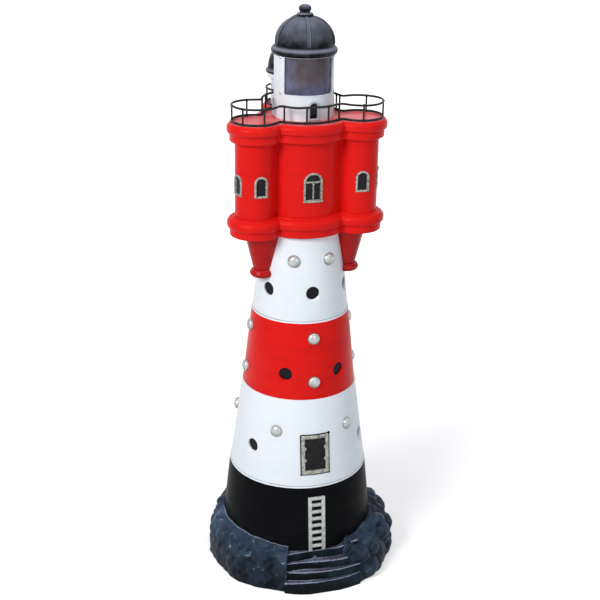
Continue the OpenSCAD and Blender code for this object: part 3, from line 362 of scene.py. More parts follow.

# %% [markdown]
# ### Metals
#
# The frames, the ladder and the studs are coated with silver paint, which is bright where a rag has rubbed
# it and grey-green where it has tarnished. One group mixes the bright and the tarnished colour by noise and
# by the second group's mask, which darkens undersides as painted shade and adds patches of dirt.

# %% Shader group: rubbed metal
metal, at, to = new_tree("Rubbed metal", "ShaderNodeTree", [
    ("Place", "Vector"), ("Bright", "Color"), ("Tarnish", "Color"), ("Tarnish share", "Float", 0.5),
    ("Hollow", "Float", 0.0), ("Scale", "Float", 150.0), ("Roughness", "Float", 0.35)], RESULTS)
cloud = speckle(metal, at["Place"], at["Scale"], 4.0)
grit = speckle(metal, at["Place"], times(metal, at["Scale"], 6.0))
# Tarnish in noisy patches, plus the mask of painted shade on undersides and patches of dirt.
tarnish_and_shade = plus(metal, times(metal, ramp(metal, cloud, 0.35, 0.7), at["Tarnish share"]), at["Hollow"], True)
metal.links.new(blend(metal, tarnish_and_shade, at["Bright"], at["Tarnish"]), to["Colour"])
rougher = plus(metal, at["Roughness"], times(metal, tarnish_and_shade, 0.25))
metal.links.new(plus(metal, rougher, ramp(metal, grit, 0.2, 0.8, -0.05, 0.05), True), to["Roughness"])
metal.links.new(plus(metal, times(metal, grit, 0.5), cloud), to["Height"])

# %% Metals and plastics
# name: bright and tarnished colour, share and scale of the tarnish, roughness, depth, painted shade
# below, how metallic
METALS = {
    "stud_silver": [(0.45, 0.47, 0.47), (0.19, 0.22, 0.20), 0.22, 110, 0.30, 0.03, 0.8, 0.85],
    "frame_silver": [(0.44, 0.44, 0.40), (0.12, 0.115, 0.095), 0.75, 300, 0.42, 0.12, 0.7, 0.45],
    "ladder_silver": [(0.52, 0.55, 0.52), (0.22, 0.25, 0.23), 0.6, 300, 0.42, 0.10, 0.5, 0.35],
    "zinc": [(0.58, 0.59, 0.60), (0.30, 0.31, 0.32), 0.5, 500, 0.32, 0.02, 0.2, 1],
    "steel_tube": [(0.55, 0.55, 0.56), (0.36, 0.36, 0.37), 0.4, 300, 0.28, 0.02, 0, 1],
    "bronze": [(0.58, 0.36, 0.13), (0.32, 0.18, 0.07), 0.4, 400, 0.34, 0.02, 0, 1],
    "motor_can": [(0.50, 0.50, 0.51), (0.33, 0.33, 0.34), 0.4, 300, 0.36, 0.03, 0, 0.9],
    "reflector_metal": [(0.86, 0.87, 0.88), (0.70, 0.71, 0.72), 0.3, 120, 0.12, 0.01, 0, 1],
    "base_grey": [(0.09, 0.09, 0.10), (0.05, 0.05, 0.055), 0.5, 120, 0.60, 0.08, 0, 0],
    "nylon_black": [(0.018, 0.018, 0.019), (0.035, 0.035, 0.037), 0.4, 300, 0.45, 0.05, 0, 0],
    "seal_rubber": [(0.03, 0.03, 0.03), (0.05, 0.05, 0.05), 0.4, 300, 0.75, 0.05, 0, 0],
    "terminal_plastic": [(0.60, 0.60, 0.57), (0.52, 0.52, 0.48), 0.4, 200, 0.45, 0.03, 0, 0],
    "gear_nylon": [(0.76, 0.73, 0.64), (0.66, 0.62, 0.52), 0.4, 300, 0.45, 0.03, 0, 0],
    "porcelain": [(0.82, 0.81, 0.77), (0.74, 0.72, 0.67), 0.3, 80, 0.16, 0.02, 0, 0],
}
for name, (bright, tarnish, share, scale, roughness, depth, shade_below, metallic) in METALS.items():
    tree, place, shader = start_material(name, Metallic=metallic)
    # The second group gives painted shade on undersides and patches of dirt, which turn the metal to its
    # tarnish.
    feed = {"Place": place, "Underside": shade_below, "Scale": scale}
    shade_and_dirt_mask = node(tree, "ShaderNodeGroup", {"node_tree": shade_and_dirt}, feed).outputs[0]
    feed = {"Place": place, "Bright": (*bright, 1), "Tarnish": (*tarnish, 1), "Tarnish share": share,
            "Hollow": shade_and_dirt_mask, "Scale": scale, "Roughness": roughness}
    rubbed = node(tree, "ShaderNodeGroup", {"node_tree": metal}, feed).outputs
    coat(tree, shader, rubbed["Colour"], rubbed["Roughness"], rubbed["Height"], depth)
print("metals and plastics", len(METALS))

# %% [markdown]
# ### Black glazing
#
# The window panes and the door leaf are painted black with gloss. A pane that is brighter on one side reads
# as glass, so the paint is smooth, and it has only a faint waviness.

# %% Black glazing
tree, place, shader = start_material("black_glazing", Specular_IOR_Level=0.14)
smear = speckle(tree, place, 90.0, 3.0)
shown = blend(tree, ramp(tree, smear, 0.45, 0.8), (0.004, 0.004, 0.006), (0.014, 0.014, 0.018))
coat(tree, shader, shown, ramp(tree, smear, 0.3, 0.8, 0.16, 0.34), speckle(tree, place, 60.0), 0.15)

# %% [markdown]
# ### The dome's charcoal
#
# The dome is satin black with a blue sheen, and what faces the sky is painted lighter, as painted light
# from above. Its rims and ribs catch light as painted highlights, and between them the paint is mottled
# with tiny pits, as a cast part is.

# %% Dome charcoal
tree, place, shader = start_material("dome_black", Specular_IOR_Level=0.06)
mottle = speckle(tree, place, 60.0, 5.0)
pits = speckle(tree, place, 420.0, 3.0)
# Painted light: what faces up is lighter and bluer, as under a lamp above.
lit_from_above = plus(tree, ramp(tree, facing_up(tree), 0.0, 0.85, 0.0, 0.85),
             ramp(tree, mottle, 0.35, 0.7, -0.18, 0.22), True)
shown = blend(tree, lit_from_above, (0.003, 0.0035, 0.005), (0.15, 0.165, 0.212))
# Painted highlights where the mesh marks them: the rim, the ribs' edges and the finial.
shown = blend(tree, times(tree, attribute(tree, "painted_highlight"), 0.75), shown, (0.20, 0.215, 0.26))
relief = plus(tree, pits, times(tree, mottle, 0.8))
coat(tree, shader, shown, ramp(tree, mottle, 0.3, 0.8, 0.28, 0.46), relief, 0.22)

# %% [markdown]
# ### Smoked pane
#
# The lantern's pane is frosted and smoked: grey-brown in the middle, violet at its edges, and so dense that
# the bulb behind it only shows as a lighter haze. The tint follows two attributes of the pane's mesh: side
# is the distance from its middle to its side edges, and height the distance from its lower edge.

# %% Smoked pane
tree, place, shader = start_material("smoked_pane", Specular_IOR_Level=0.15)
haze = speckle(tree, place, 45.0, 4.0)
middle = blend(tree, ramp(tree, haze, 0.35, 0.7), (0.058, 0.048, 0.054), (0.110, 0.094, 0.104))
violet = blend(tree, ramp(tree, haze, 0.3, 0.7), (0.070, 0.072, 0.135), (0.150, 0.157, 0.260))
share = plus(tree, ramp(tree, attribute(tree, "side"), 0.5, 1.0),
             ramp(tree, attribute(tree, "height"), 0.42, 0.05), True)
share = plus(tree, share, ramp(tree, haze, 0.4, 0.7, -0.1, 0.15), True)
coat(tree, shader, blend(tree, share, middle, violet), ramp(tree, haze, 0.3, 0.7, 0.22, 0.36), haze, 0.2)
tree.links.new(ramp(tree, haze, 0.3, 0.7, 0.94, 0.99), shader.inputs["Alpha"])

# %% [markdown]
# ### Slate of the rock
#
# The rock was painted black, then brushed over with blue slate colours, and at last its crests and the
# edges of the steps were touched with a nearly dry brush of pale violet. Attributes of the rock's mesh say
# where: tone is the share of blue, mauve the trodden part of the steps, and brush the touch of the dry
# brush, which catches only peaks.

# %% Rock slate
tree, place, shader = start_material("rock_slate", Specular_IOR_Level=0.06)
cloud = speckle(tree, place, 42.0, 5.0)
teal = speckle(tree, place, 21.0, 3.0)
grain = speckle(tree, place, 330.0, 4.0)
drawn = speckle(tree, place, 60.0, 4.0, (0.5, 0.5, 3.5))
level = plus(tree, attribute(tree, "tone"), ramp(tree, cloud, 0.3, 0.7, -0.10, 0.10))
shown = blend(tree, ramp(tree, level, 0.02, 0.22), (0.0035, 0.0050, 0.0062), (0.017, 0.027, 0.045))
for start, end, slate in ((0.25, 0.62, (0.036, 0.058, 0.102)), (0.62, 1.0, (0.105, 0.155, 0.245))):
    shown = blend(tree, ramp(tree, level, start, end), shown, slate)
shown = blend(tree, times(tree, ramp(tree, teal, 0.5, 0.7), 0.35), shown, (0.018, 0.040, 0.052))
shown = blend(tree, attribute(tree, "mauve"), shown, (0.072, 0.068, 0.092))
catch = plus(tree, attribute(tree, "brush"), ramp(tree, grain, 0.35, 0.65, -0.22, 0.22))
catch = plus(tree, catch, ramp(tree, drawn, 0.35, 0.65, -0.2, 0.2))
shown = blend(tree, ramp(tree, catch, 0.36, 0.84), shown, (0.23, 0.265, 0.36))
relief = plus(tree, times(tree, grain, 0.4), drawn)
coat(tree, shader, shown, ramp(tree, cloud, 0.3, 0.7, 0.34, 0.56), relief, 0.5)

# %% Opal glass of the bulb
tree, place, shader = start_material("opal_glass", Subsurface_Weight=0.2)
haze = speckle(tree, place, 60.0)
shown = blend(tree, ramp(tree, haze, 0.3, 0.7), (0.90, 0.88, 0.82), (0.86, 0.83, 0.76))
coat(tree, shader, shown, ramp(tree, haze, 0.3, 0.7, 0.22, 0.34))
print("materials", sorted(materials))

# %% [markdown]
# ## Shaping tools
#
# Nearly everything on a lighthouse is round, so most pieces are a closed outline that is turned about an
# axis. An outline is a few corners, each with the radius to which it is rounded, because no moulded edge is
# sharp: a rounded edge is what catches the light. All points are in millimetres, and become metres only in
# the finished mesh.

# %% Outlines with rounded corners


def soften(corners, closed=True, steps=5):
    """Points along an outline. A corner is (x, y) or (x, y, radius)."""
    points = []
    count = len(corners)
    for i, corner in enumerate(corners):
        here = np.array(corner[:2], float)
        if len(corner) < 3 or (not closed and i in (0, count - 1)):
            points.append(here)
            continue
        back = np.array(corners[i - 1][:2]) - here
        on = np.array(corners[(i + 1) % count][:2]) - here
        room = 0.49 * min(np.linalg.norm(back), np.linalg.norm(on))
        back, on = back / np.linalg.norm(back), on / np.linalg.norm(on)
        half = math.acos(np.clip(back @ on, -1, 1)) / 2
        if half > math.pi / 2 - 0.002:
            points.append(here)
            continue
        reach = min(corner[2] / math.tan(half), room)
        radius = reach * math.tan(half)
        middle = here + (back + on) / np.linalg.norm(back + on) * radius / math.sin(half)
        start, end = here + back * reach - middle, here + on * reach - middle
        turn = math.pi - 2 * half
        for s in np.arange(steps + 1) / steps:
            bend = start * math.sin((1 - s) * turn) + end * math.sin(s * turn)
            points.append(middle + bend / math.sin(turn))
    return np.array(points)


def arc(centre, radius, start, end, steps):
    """Points on an arc. Angles are in degrees from +x."""
    turns = np.radians(np.linspace(start, end, steps + 1))
    return np.column_stack([centre[0] + radius * np.cos(turns), centre[1] + radius * np.sin(turns)])


# %% [markdown]
# A finished mesh is merged, its faces are turned outwards, and it is smooth except across real edges. The
# piece is then put on its body in one call, which also hides the construction nodes that it stands for.

# %% Finished meshes


def new_object(name, points, faces, material, sharp=35.0, values=None, merge=0.003):
    """An object made of points in millimetres, with numbers for each point that its material can read."""
    mesh = bpy.data.meshes.new(name)
    mesh.from_pydata(np.asarray(points, float).tolist(), [], [list(map(int, f)) for f in faces])
    for title, numbers in (values or {}).items():
        layer = mesh.attributes.new(title, "FLOAT", "POINT")
        layer.data.foreach_set("value", np.asarray(numbers, np.float32))
    shape = bmesh.new()
    shape.from_mesh(mesh)
    bmesh.ops.remove_doubles(shape, verts=shape.verts, dist=merge)
    bmesh.ops.dissolve_degenerate(shape, edges=shape.edges, dist=merge * 0.1)
    bmesh.ops.recalc_face_normals(shape, faces=shape.faces)
    shape.to_mesh(mesh)
    shape.free()
    mesh.transform(Matrix.Scale(MM, 4))
    mesh.materials.append(materials[material])
    return smooth(linked(name, mesh), sharp)


def smooth(obj, sharp=35.0):
    """Smooth shading, except across edges that are sharper than the angle."""
    obj.data.polygons.foreach_set("use_smooth", [True] * len(obj.data.polygons))
    obj.data.set_sharp_from_angle(angle=math.radians(sharp))
    return obj


def evaluated(obj):
    """Turns an object with modifiers into one with a plain mesh, under its own name."""
    graph = bpy.context.evaluated_depsgraph_get()
    mesh = bpy.data.meshes.new_from_object(obj.evaluated_get(graph))
    obj.modifiers.clear()
    obj.data = mesh
    return obj


def joined(name, *objects, sharp):
    """One object out of several."""
    shape = bmesh.new()
    for obj in objects:
        shape.from_mesh(obj.data)
    mesh = bpy.data.meshes.new(name)
    mesh.materials.append(objects[0].data.materials[0])
    shape.to_mesh(mesh)
    shape.free()
    for obj in objects:
        bpy.data.objects.remove(obj)
    return smooth(linked(name, mesh), sharp)


def hand_over(obj, slot, *stands_for, body="root"):
    """Hides the construction nodes that a finished piece stands for, puts the piece on its body, and
    prints its triangles and whether it is closed. slot is not used.
    """
    if stands_for:
        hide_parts(*stands_for)
    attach(obj, body)
    shape = bmesh.new()
    shape.from_mesh(obj.data)
    closed = all(len(edge.link_faces) == 2 for edge in shape.edges)
    shape.free()
    obj.data.calc_loop_triangles()
    print(obj.name, len(obj.data.loop_triangles), "triangles", "closed" if closed else "open")


def paint_attribute(obj, name, values):
    """Stores a number for each vertex, which a material can read."""
    stored = obj.data.attributes.get(name) or obj.data.attributes.new(name, "FLOAT", "POINT")
    stored.data.foreach_set("value", np.asarray(values, np.float32))


def places(obj):
    """The vertices of an object, in millimetres."""
    out = np.zeros(len(obj.data.vertices) * 3, np.float32)
    obj.data.vertices.foreach_get("co", out)
    return out.reshape(-1, 3) / MM


# %% [markdown]
# Two ways of making a surface cover most of the object. A turned surface repeats an outline round an axis.
# A lofted surface joins rings that have the same number of points, so it also follows plans that aren't
# circles. Both are grids of points, so one function makes the faces of both.

# %% Turned and lofted surfaces


def grid_faces(rows, columns, wrap_rows=True, wrap_columns=True):
    """Quads between neighbouring points of a grid that is stored row by row."""
    j = np.arange(rows if wrap_rows else rows - 1)
    i = np.arange(columns if wrap_columns else columns - 1)
    j, i = np.meshgrid(j, i, indexing="ij")
    up_j, on_i = (j + 1) % rows, (i + 1) % columns
    quads = np.stack([j * columns + i, j * columns + on_i, up_j * columns + on_i, up_j * columns + i], -1)
    return quads.reshape(-1, 4)


def turned(outline, steps=180, centre=(0, 0)):
    """Points and faces of a closed outline of (radius, height) that is turned about a vertical axis."""
    outline = np.asarray(outline, float)
    turns = np.arange(steps) / steps * 2 * math.pi
    r, z = outline[:, 0][:, None], outline[:, 1][:, None]
    x = centre[0] + r * np.sin(turns)
    y = centre[1] - r * np.cos(turns)
    points = np.stack([x, y, np.broadcast_to(z, x.shape)], -1).reshape(-1, 3)
    return points, grid_faces(len(outline), steps)


def lofted(rings, wrap_rows=True):
    """Points and faces through rings of as many points each."""
    rings = np.asarray(rings, float)
    return rings.reshape(-1, 3), grid_faces(rings.shape[0], rings.shape[1], wrap_rows)


def capped(rings):
    """A loft through rings whose two ends are closed with one face each."""
    points, faces = lofted(rings, False)
    rows, columns = len(rings), len(rings[0])
    ends = [list(range(columns)), list(range((rows - 1) * columns, rows * columns))]
    return points, [list(f) for f in faces] + ends


def merged(parts):
    """One set of points and faces out of several."""
    points, faces, start = [], [], 0
    for p, f in parts:
        points.append(np.asarray(p, float))
        faces += [[v + start for v in face] for face in f]
        start += len(p)
    return np.vstack(points), faces


def level_ring(outline, z):
    """An outline of (x, y) at a height, one for all points or one for each."""
    return np.column_stack([outline, np.broadcast_to(z, len(outline))])


def round_ring(radius, z, turns):
    """A ring about the axis at a height, through the given angles in radians."""
    return level_ring(np.column_stack([radius * np.sin(turns), -radius * np.cos(turns)]), z)


def at_wall(shape, bearing, radius, z):
    """Moves a shape that was made standing on z=0 so that it stands outwards from a wall, with its up
    along z."""
    points, faces = shape
    out = np.array(bearing_vector(bearing))
    across = np.array([-out[1], out[0], 0])
    place = out * radius + np.array([0, 0, z])
    return place + points[:, :1] * across + points[:, 1:2] * np.array([0, 0, 1]) + points[:, 2:] * out, faces


# %% [markdown]
# Holes are cut with a solver for closed meshes. A cutter is a turned or lofted mesh like any other, and it
# is thrown away afterwards.

# %% Cutting


def combine(obj, other, operation):
    """Adds another object to an object, or cuts it out, and throws the other away."""
    change = obj.modifiers.new(operation, "BOOLEAN")
    change.operation, change.solver, change.object = operation, "MANIFOLD", other
    evaluated(obj)
    bpy.data.objects.remove(other)


def cut(obj, cutters, sharp):
    """Cuts closed shapes, given as points and faces in millimetres, out of an object."""
    combine(obj, new_object("cutter", *merged(cutters), "white_enamel", 180), "DIFFERENCE")
    smooth(obj, sharp)


# %% [markdown]
# ## Geometry Nodes for what repeats
#
# A row of studs is one stud many times. The first tree takes a mesh of single points, each with a vector
# that says which way is out of the wall, and puts a copy of one shape on every point. Wires are the second
# case: a tree takes a path and gives it a round section. The result of either is turned into a plain mesh,
# because an exported model keeps no instances.

# %% A tree for rows of equal pieces
SHAPE = ("Geometry", "Geometry")
FINISH = ("Finish", "Material")


def run_tree(name, mesh, tree, sharp, **values):
    """Runs a tree on a mesh with its inputs set by name, and leaves a plain object."""
    obj = linked(name, mesh)
    change = obj.modifiers.new("nodes", "NODES")
    change.node_group = tree
    for item in tree.interface.items_tree:
        if item.in_out == "INPUT" and item.name in values:
            change[item.identifier] = values[item.name]
    obj.update_tag()
    bpy.context.view_layer.update()
    return smooth(evaluated(obj), sharp)


row_tree, at, to = new_tree("Row of equal pieces", "GeometryNodeTree",
                            [SHAPE, ("Piece", "Object"), FINISH], [SHAPE])
outward = node(row_tree, "GeometryNodeInputNamedAttribute", {"data_type": "FLOAT_VECTOR"}, {"Name": "out"})
stand = node(row_tree, "FunctionNodeAlignRotationToVector", {"axis": "Z"},
             {"Vector": outward.outputs["Attribute"]})
upright = node(row_tree, "FunctionNodeAlignRotationToVector", {"axis": "Y", "pivot_axis": "Z"},
               {"Rotation": stand.outputs[0], "Vector": (0, 0, 1)})
piece = node(row_tree, "GeometryNodeObjectInfo", None, {"Object": at["Piece"]})
copies = node(row_tree, "GeometryNodeInstanceOnPoints", None,
              {"Points": at["Geometry"], "Instance": piece.outputs["Geometry"],
               "Rotation": upright.outputs[0]})
solid = node(row_tree, "GeometryNodeRealizeInstances", None, {0: copies.outputs[0]})
finish = node(row_tree, "GeometryNodeSetMaterial", None, {0: solid.outputs[0], "Material": at["Finish"]})
row_tree.links.new(finish.outputs[0], to[0])


def row_of(name, shape, spots, material, sharp=35.0):
    """Copies of a shape, made standing on z=0, at spots of (place, outward direction)."""
    pattern = new_object("pattern", *shape, material, sharp)
    mesh = bpy.data.meshes.new(name)
    mesh.from_pydata([tuple(v * MM for v in place) for place, _ in spots], [], [])
    facing = mesh.attributes.new("out", "FLOAT_VECTOR", "POINT")
    facing.data.foreach_set("vector", [v for _, out in spots for v in out])
    made = run_tree(name, mesh, row_tree, sharp, Piece=pattern, Finish=materials[material])
    bpy.data.objects.remove(pattern)
    return made


# %% A tree for wires
wire_tree, at, to = new_tree("Round wire", "GeometryNodeTree",
                             [SHAPE, ("Radius", "Float", 0.0015), ("Sides", "Int", 12), FINISH], [SHAPE])
path = node(wire_tree, "GeometryNodeMeshToCurve", None, {"Mesh": at["Geometry"]})
ring = node(wire_tree, "GeometryNodeCurvePrimitiveCircle", None,
            {"Resolution": at["Sides"], "Radius": at["Radius"]})
swept = node(wire_tree, "GeometryNodeCurveToMesh", None,
             {"Curve": path.outputs[0], "Profile Curve": ring.outputs[0], "Fill Caps": True})
finish = node(wire_tree, "GeometryNodeSetMaterial", None, {0: swept.outputs[0], "Material": at["Finish"]})
wire_tree.links.new(finish.outputs[0], to[0])


def wire(name, paths, radius, closed, sides):
    """Round black wire along paths, in millimetres."""
    points, links = [], []
    for line in paths:
        start = len(points)
        points += [tuple(float(v) * MM for v in p) for p in line]
        links += [(start + i, start + i + 1) for i in range(len(line) - 1)]
        if closed:
            links.append((len(points) - 1, start))
    mesh = bpy.data.meshes.new(name)
    mesh.from_pydata(points, links, [])
    return run_tree(name, mesh, wire_tree, 60, Radius=radius * MM, Sides=sides,
                    Finish=materials["wire_black"])


print("geometry trees", [g.name for g in bpy.data.node_groups if g.type == "GEOMETRY"])

# %% [markdown]
# ## The four tower sections
#
# Each section is a hollow cone that stands on the ledge of the one below and is held by its spigot. An
# outline that is turned about the axis gives the outside, the ledge, the spigot and the inside at once, so
# the wall has its real thickness wherever a hole shows it. The wall is thicker behind a row of portholes,
# because their recesses need the depth.

# %% Portholes and studs, by section: height over the section's foot, and bearings
PORTHOLE_R = 9.25
RECESS = 3.0
DISC_T = 2.0
DISC_LAP = 1.4
STUD_R = 8.5
STUD_H = 6.0
STUD_SEAT = 1.2
HOLES = {1: (48.0, [-120, -60, 60, 120, 180]),
         2: (36.0, [-30, 30, 150, 210]),
         3: (39.5, [0, 60, 120, 180, 240, 300])}
STUDS = {1: [(79.0, [-36, 36, -108, 108, 180])],
         2: [(25.0, [0, 90, 180, 270]), (87.0, [0, 90, 180, 270])],
         3: [(83.5, [-25, 25, -112, 112, -148, 148])]}
SPIGOT_H = 12.0


def section_outline(i):
    """Closed outline of section i as (radius, height)."""
    foot, top = line_z[i], line_z[i + 1]
    spigot = (section_r(i + 1, top + SPIGOT_H) if i < 3 else NECK_R) - WALL - 0.2
    corners = [(section_r(i, foot), foot, 0.3), (section_r(i, top), top, 0.45), (spigot, top, 0.2),
               (spigot, top + SPIGOT_H, 0.6), (spigot - 3, top + SPIGOT_H, 0.6), (spigot - 3, top - 5),
               (section_r(i, top - 5) - WALL, top - 5)]
    if i in HOLES:
        row = foot + HOLES[i][0]
        for z, deep in ((row + 17, 0), (row + 13, 4), (row - 13, 4), (row - 17, 0)):
            corners.append((section_r(i, z) - WALL - deep, z))
    corners.append((section_r(i, foot) - WALL, foot))
    return soften(corners)


# %% [markdown]
# A porthole's recess has a softly rounded mouth, which catches a thin ring of light. Its cutter is an
# outline turned about the recess's own axis: the mouth, the recess, and behind it the wider seat of the
# black disc. Each stud has a flat seat, and the door has an opening.

# %% The sections and what is cut out of them
DOOR_W, DOOR_H = 40.0, 57.0
DOOR_Z = line_z[1] + 18.0
FINISH_OF = ["black_enamel", "white_band_enamel", "red_band_enamel", "white_band_enamel"]
SLOT_OF = ["black_paint", "white_paint", "red_paint", "white_paint"]
disc_seat = PORTHOLE_R + DISC_LAP + 0.1
recess = turned([(0, 5), (PORTHOLE_R + 2.6, 5), (PORTHOLE_R + 2.6, 0.35), (PORTHOLE_R + 1.3, 0.05),
                 (PORTHOLE_R + 0.45, -0.35), (PORTHOLE_R, -1.1), (PORTHOLE_R, -RECESS), (disc_seat, -RECESS),
                 (disc_seat, -RECESS - 9), (0, -RECESS - 9)], 48)
stud_seat = turned([(0, 4), (STUD_R + 0.15, 4), (STUD_R + 0.15, -STUD_SEAT), (0, -STUD_SEAT)], 48)
half, lintel = DOOR_W / 2, DOOR_Z + DOOR_H
outline = soften([(-half, DOOR_Z, 1), (half, DOOR_Z, 1), (half, lintel, 1), (-half, lintel, 1)])
doorway = capped([[(x, -y, z) for x, z in outline] for y in (60.0, 110.0)])
for i, name in enumerate(SECTIONS):
    section = new_object(name + "_shell", *turned(section_outline(i), 288), FINISH_OF[i])
    rows = [(recess, *HOLES[i])] + [(stud_seat, *row) for row in STUDS[i]] if i in HOLES else []
    cutters = [at_wall(shape, b, section_r(i, line_z[i] + up), line_z[i] + up)
               for shape, up, row in rows for b in row]
    if i == 1:
        cutters.append(doorway)
    if cutters:
        cut(section, cutters, 32)
    hand_over(section, SLOT_OF[i], name)

# %% [markdown]
# The black discs at the bottom of the recesses are slightly domed, as a dab of gloss paint is when it has
# dried. A stud is a stamped dome with a thin flange, driven into the wall by its shank. The dome isn't a
# part of a sphere: it is flatter on top and rounder at its edge, as a pressed dome is. The discs of a
# section are one row for the tree of equal pieces, and so are its studs.

# %% Porthole discs and studs
disc_r = PORTHOLE_R + DISC_LAP - 0.1
disc = turned(soften([(0, 0), (disc_r, 0, 0.2), (disc_r, DISC_T, 0.3), (PORTHOLE_R * 0.85, DISC_T),
                      (PORTHOLE_R * 0.4, DISC_T + 0.28), (0, DISC_T + 0.34)], False), 40)
pressed = [(STUD_R * math.sin(a) ** 0.93, STUD_SEAT + 0.7 + (STUD_H - 0.7) * math.cos(a))
           for a in np.radians(np.linspace(90, 0, 12))]
stud = turned(np.array([(0, -7), (2.5, -7), (2.5, 0), (STUD_R, 0), (STUD_R, STUD_SEAT + 0.45)] + pressed), 40)
NAMES = {1: "lower", 2: "middle", 3: "upper"}


def row_spots(i, rows, inset):
    """Places in the wall of section i, each with its way out."""
    return [(bearing_vector(b) * (section_r(i, line_z[i] + up) - inset) + Vector((0, 0, line_z[i] + up)),
             bearing_vector(b)) for up, bearings in rows for b in bearings]


for i, name in NAMES.items():
    row = row_of(name + "_porthole_discs", disc, row_spots(i, [HOLES[i]], RECESS + DISC_T), "porthole_black")
    hand_over(row, "black_glazing", name + "_portholes")
for i, name in NAMES.items():
    row = row_of(name + "_stud_row", stud, row_spots(i, STUDS[i], STUD_SEAT), "stud_silver", 50)
    hand_over(row, "silver", name + "_studs")

# %% [markdown]
# ## The gallery house
#
# In plan the house is a circle with three smaller circles, the oriels, that grow out of it. Where two
# circles meet there is a crease, and the paint has filled it to a small round. Every wall, rim and step of
# the house is this same plan at another offset, so one function gives the plan with a fixed number of
# points, and each storey is a loft through a few plans at different heights.

# %% The plan of the house
ORIEL_POINTS = 64
CREASE_POINTS = 4
FRONT_POINTS = 84
SIDE_POINTS = 48
CREASE = 1.2
GAPS = [(b, on - b) for b, on in zip(ORIELS, ORIELS[1:] + [ORIELS[0] + 360])]


def triangle_turn(a, b, c):
    """The angle in degrees between sides a and b of a triangle, opposite to c."""
    return math.degrees(math.acos((a * a + b * b - c * c) / (2 * a * b)))


def plan(off, oriel_off, crease=CREASE):
    """Points round the house, each set off from its wall, and a bearing for each that rises steadily."""
    r, s, d = house_r + off + crease, ORIEL_R + oriel_off + crease, oriel_at
    at_house, at_oriel = triangle_turn(r, d, s), triangle_turn(s, d, r)
    points, bearings = [], []

    def along(centre, distance, radius, start, end, count, first, last):
        middle = bearing_vector(centre) * distance
        for share in np.arange(count) / count:
            spot = middle + bearing_vector(start + (end - start) * share) * radius
            points.append((spot.x, spot.y))
            bearings.append(first + (last - first) * share)

    for b, gap in GAPS:
        on, off_side = b + at_house, b + gap - at_house
        many = FRONT_POINTS if gap > 120 else SIDE_POINTS
        along(b, d, s - crease, b - 180 + at_oriel, b + 180 - at_oriel, ORIEL_POINTS, b - at_house, on - 0.5)
        along(on, r, crease, b - at_oriel, on - 180, CREASE_POINTS, on - 0.5, on)
        along(0, 0, r - crease, on, off_side, many, on, off_side - 0.5)
        along(off_side, r, crease, off_side + 180, b + gap + at_oriel, CREASE_POINTS, off_side - 0.5,
              off_side)
    return np.array(points), np.array(bearings)


def plan_ring(off, z, crease=CREASE, less=0.0):
    """The plan at a height. less is by how much less the oriels are set off."""
    return level_ring(plan(off, off - less, crease)[0], z)


plan_turns = np.radians(plan(0, 0)[1])
print("points round the house", len(plan_turns))

# %% [markdown]
# The floor and the deck are alike: a small rim, and over it a big rim whose upper edge steps in with round
# steps. The outline below is the offset from the wall against the height, rounded where the real rims are.
# The rims stand out half a millimetre less round the oriels.

# %% Floor and deck
ORIEL_LESS = 0.5
SMALL_OUT = 7.4
SMALL_H = 11.0
BIG_OUT = 11.0
BIG_H = 13.5


def cornice_outline(z):
    """Offset and height of the small and the big rim that start at z."""
    big = z + SMALL_H
    return [(SMALL_OUT - 0.6, z, 0.8), (SMALL_OUT, z + 1.2, 1.5), (SMALL_OUT + 0.15, big - 3.0, 2),
            (SMALL_OUT - 0.3, big, 0.8), (BIG_OUT - 1.3, big + 0.05, 1.2), (BIG_OUT, big + 2.0, 2.2),
            (BIG_OUT + 0.05, big + BIG_H - 5.2, 2.2), (BIG_OUT - 1.3, big + BIG_H - 3.2, 1.4),
            (BIG_OUT - 3.0, big + BIG_H - 0.9, 1.6), (BIG_OUT - 5.0, big + BIG_H, 1.2)]


def cornice_rings(line):
    """Rings of the plan along an outline."""
    return [plan_ring(off, z, less=ORIEL_LESS if off > SMALL_OUT - 2 else 0.0) for off, z in line]


line = soften([(-3, wall_z - 3), (-3, floor_z)] + cornice_outline(floor_z)
              + [(4.0, wall_z - 2.0, 0.5), (3.9, wall_z - 0.2, 0.9), (0.2, wall_z)], False, 4)[2:]
rings = [round_ring(30, wall_z - 3, plan_turns), round_ring(40, floor_z, plan_turns)] + cornice_rings(line)
rings += [plan_ring(0.1, wall_z), plan_ring(-3, wall_z), plan_ring(-3, wall_z - 3, 0.4)]
hand_over(new_object("gallery_floor_cast", *lofted(rings), "red_enamel", 40), "red_paint", "gallery_floor")

line = soften([(0.2, cornice_z)] + cornice_outline(cornice_z) + [(-6, deck_z)], False, 4)[:-1]
rings = [round_ring(34, cornice_z + 6, plan_turns), plan_ring(-3, cornice_z + 6, 0.4),
         plan_ring(-3, cornice_z)]
rings += cornice_rings(line) + [round_ring(34, deck_z, plan_turns)]
hand_over(new_object("gallery_deck_cast", *lofted(rings), "deck_enamel", 40), "red_paint", "gallery_deck")

# %% [markdown]
# ## Arched windows
#
# A window frame is a bar of one section that is led round an arch, and the whole window is bent on its
# wall. The arch is drawn flat, in millimetres across and up, the section is added as rings at other offsets
# from the arch, and only then is every point wrapped round the wall.

# %% Arches and bars


def arch_line(width, height, radius=0.6, steps=14):
    """Closed outline of an arch that stands on z=0."""
    half = width / 2
    foot = soften([(-half, height * 0.4), (-half, 0, radius), (half, 0, radius), (half, height * 0.4)], False)
    return np.vstack([foot, arc((0, height - half), half, 0, 180, steps)])


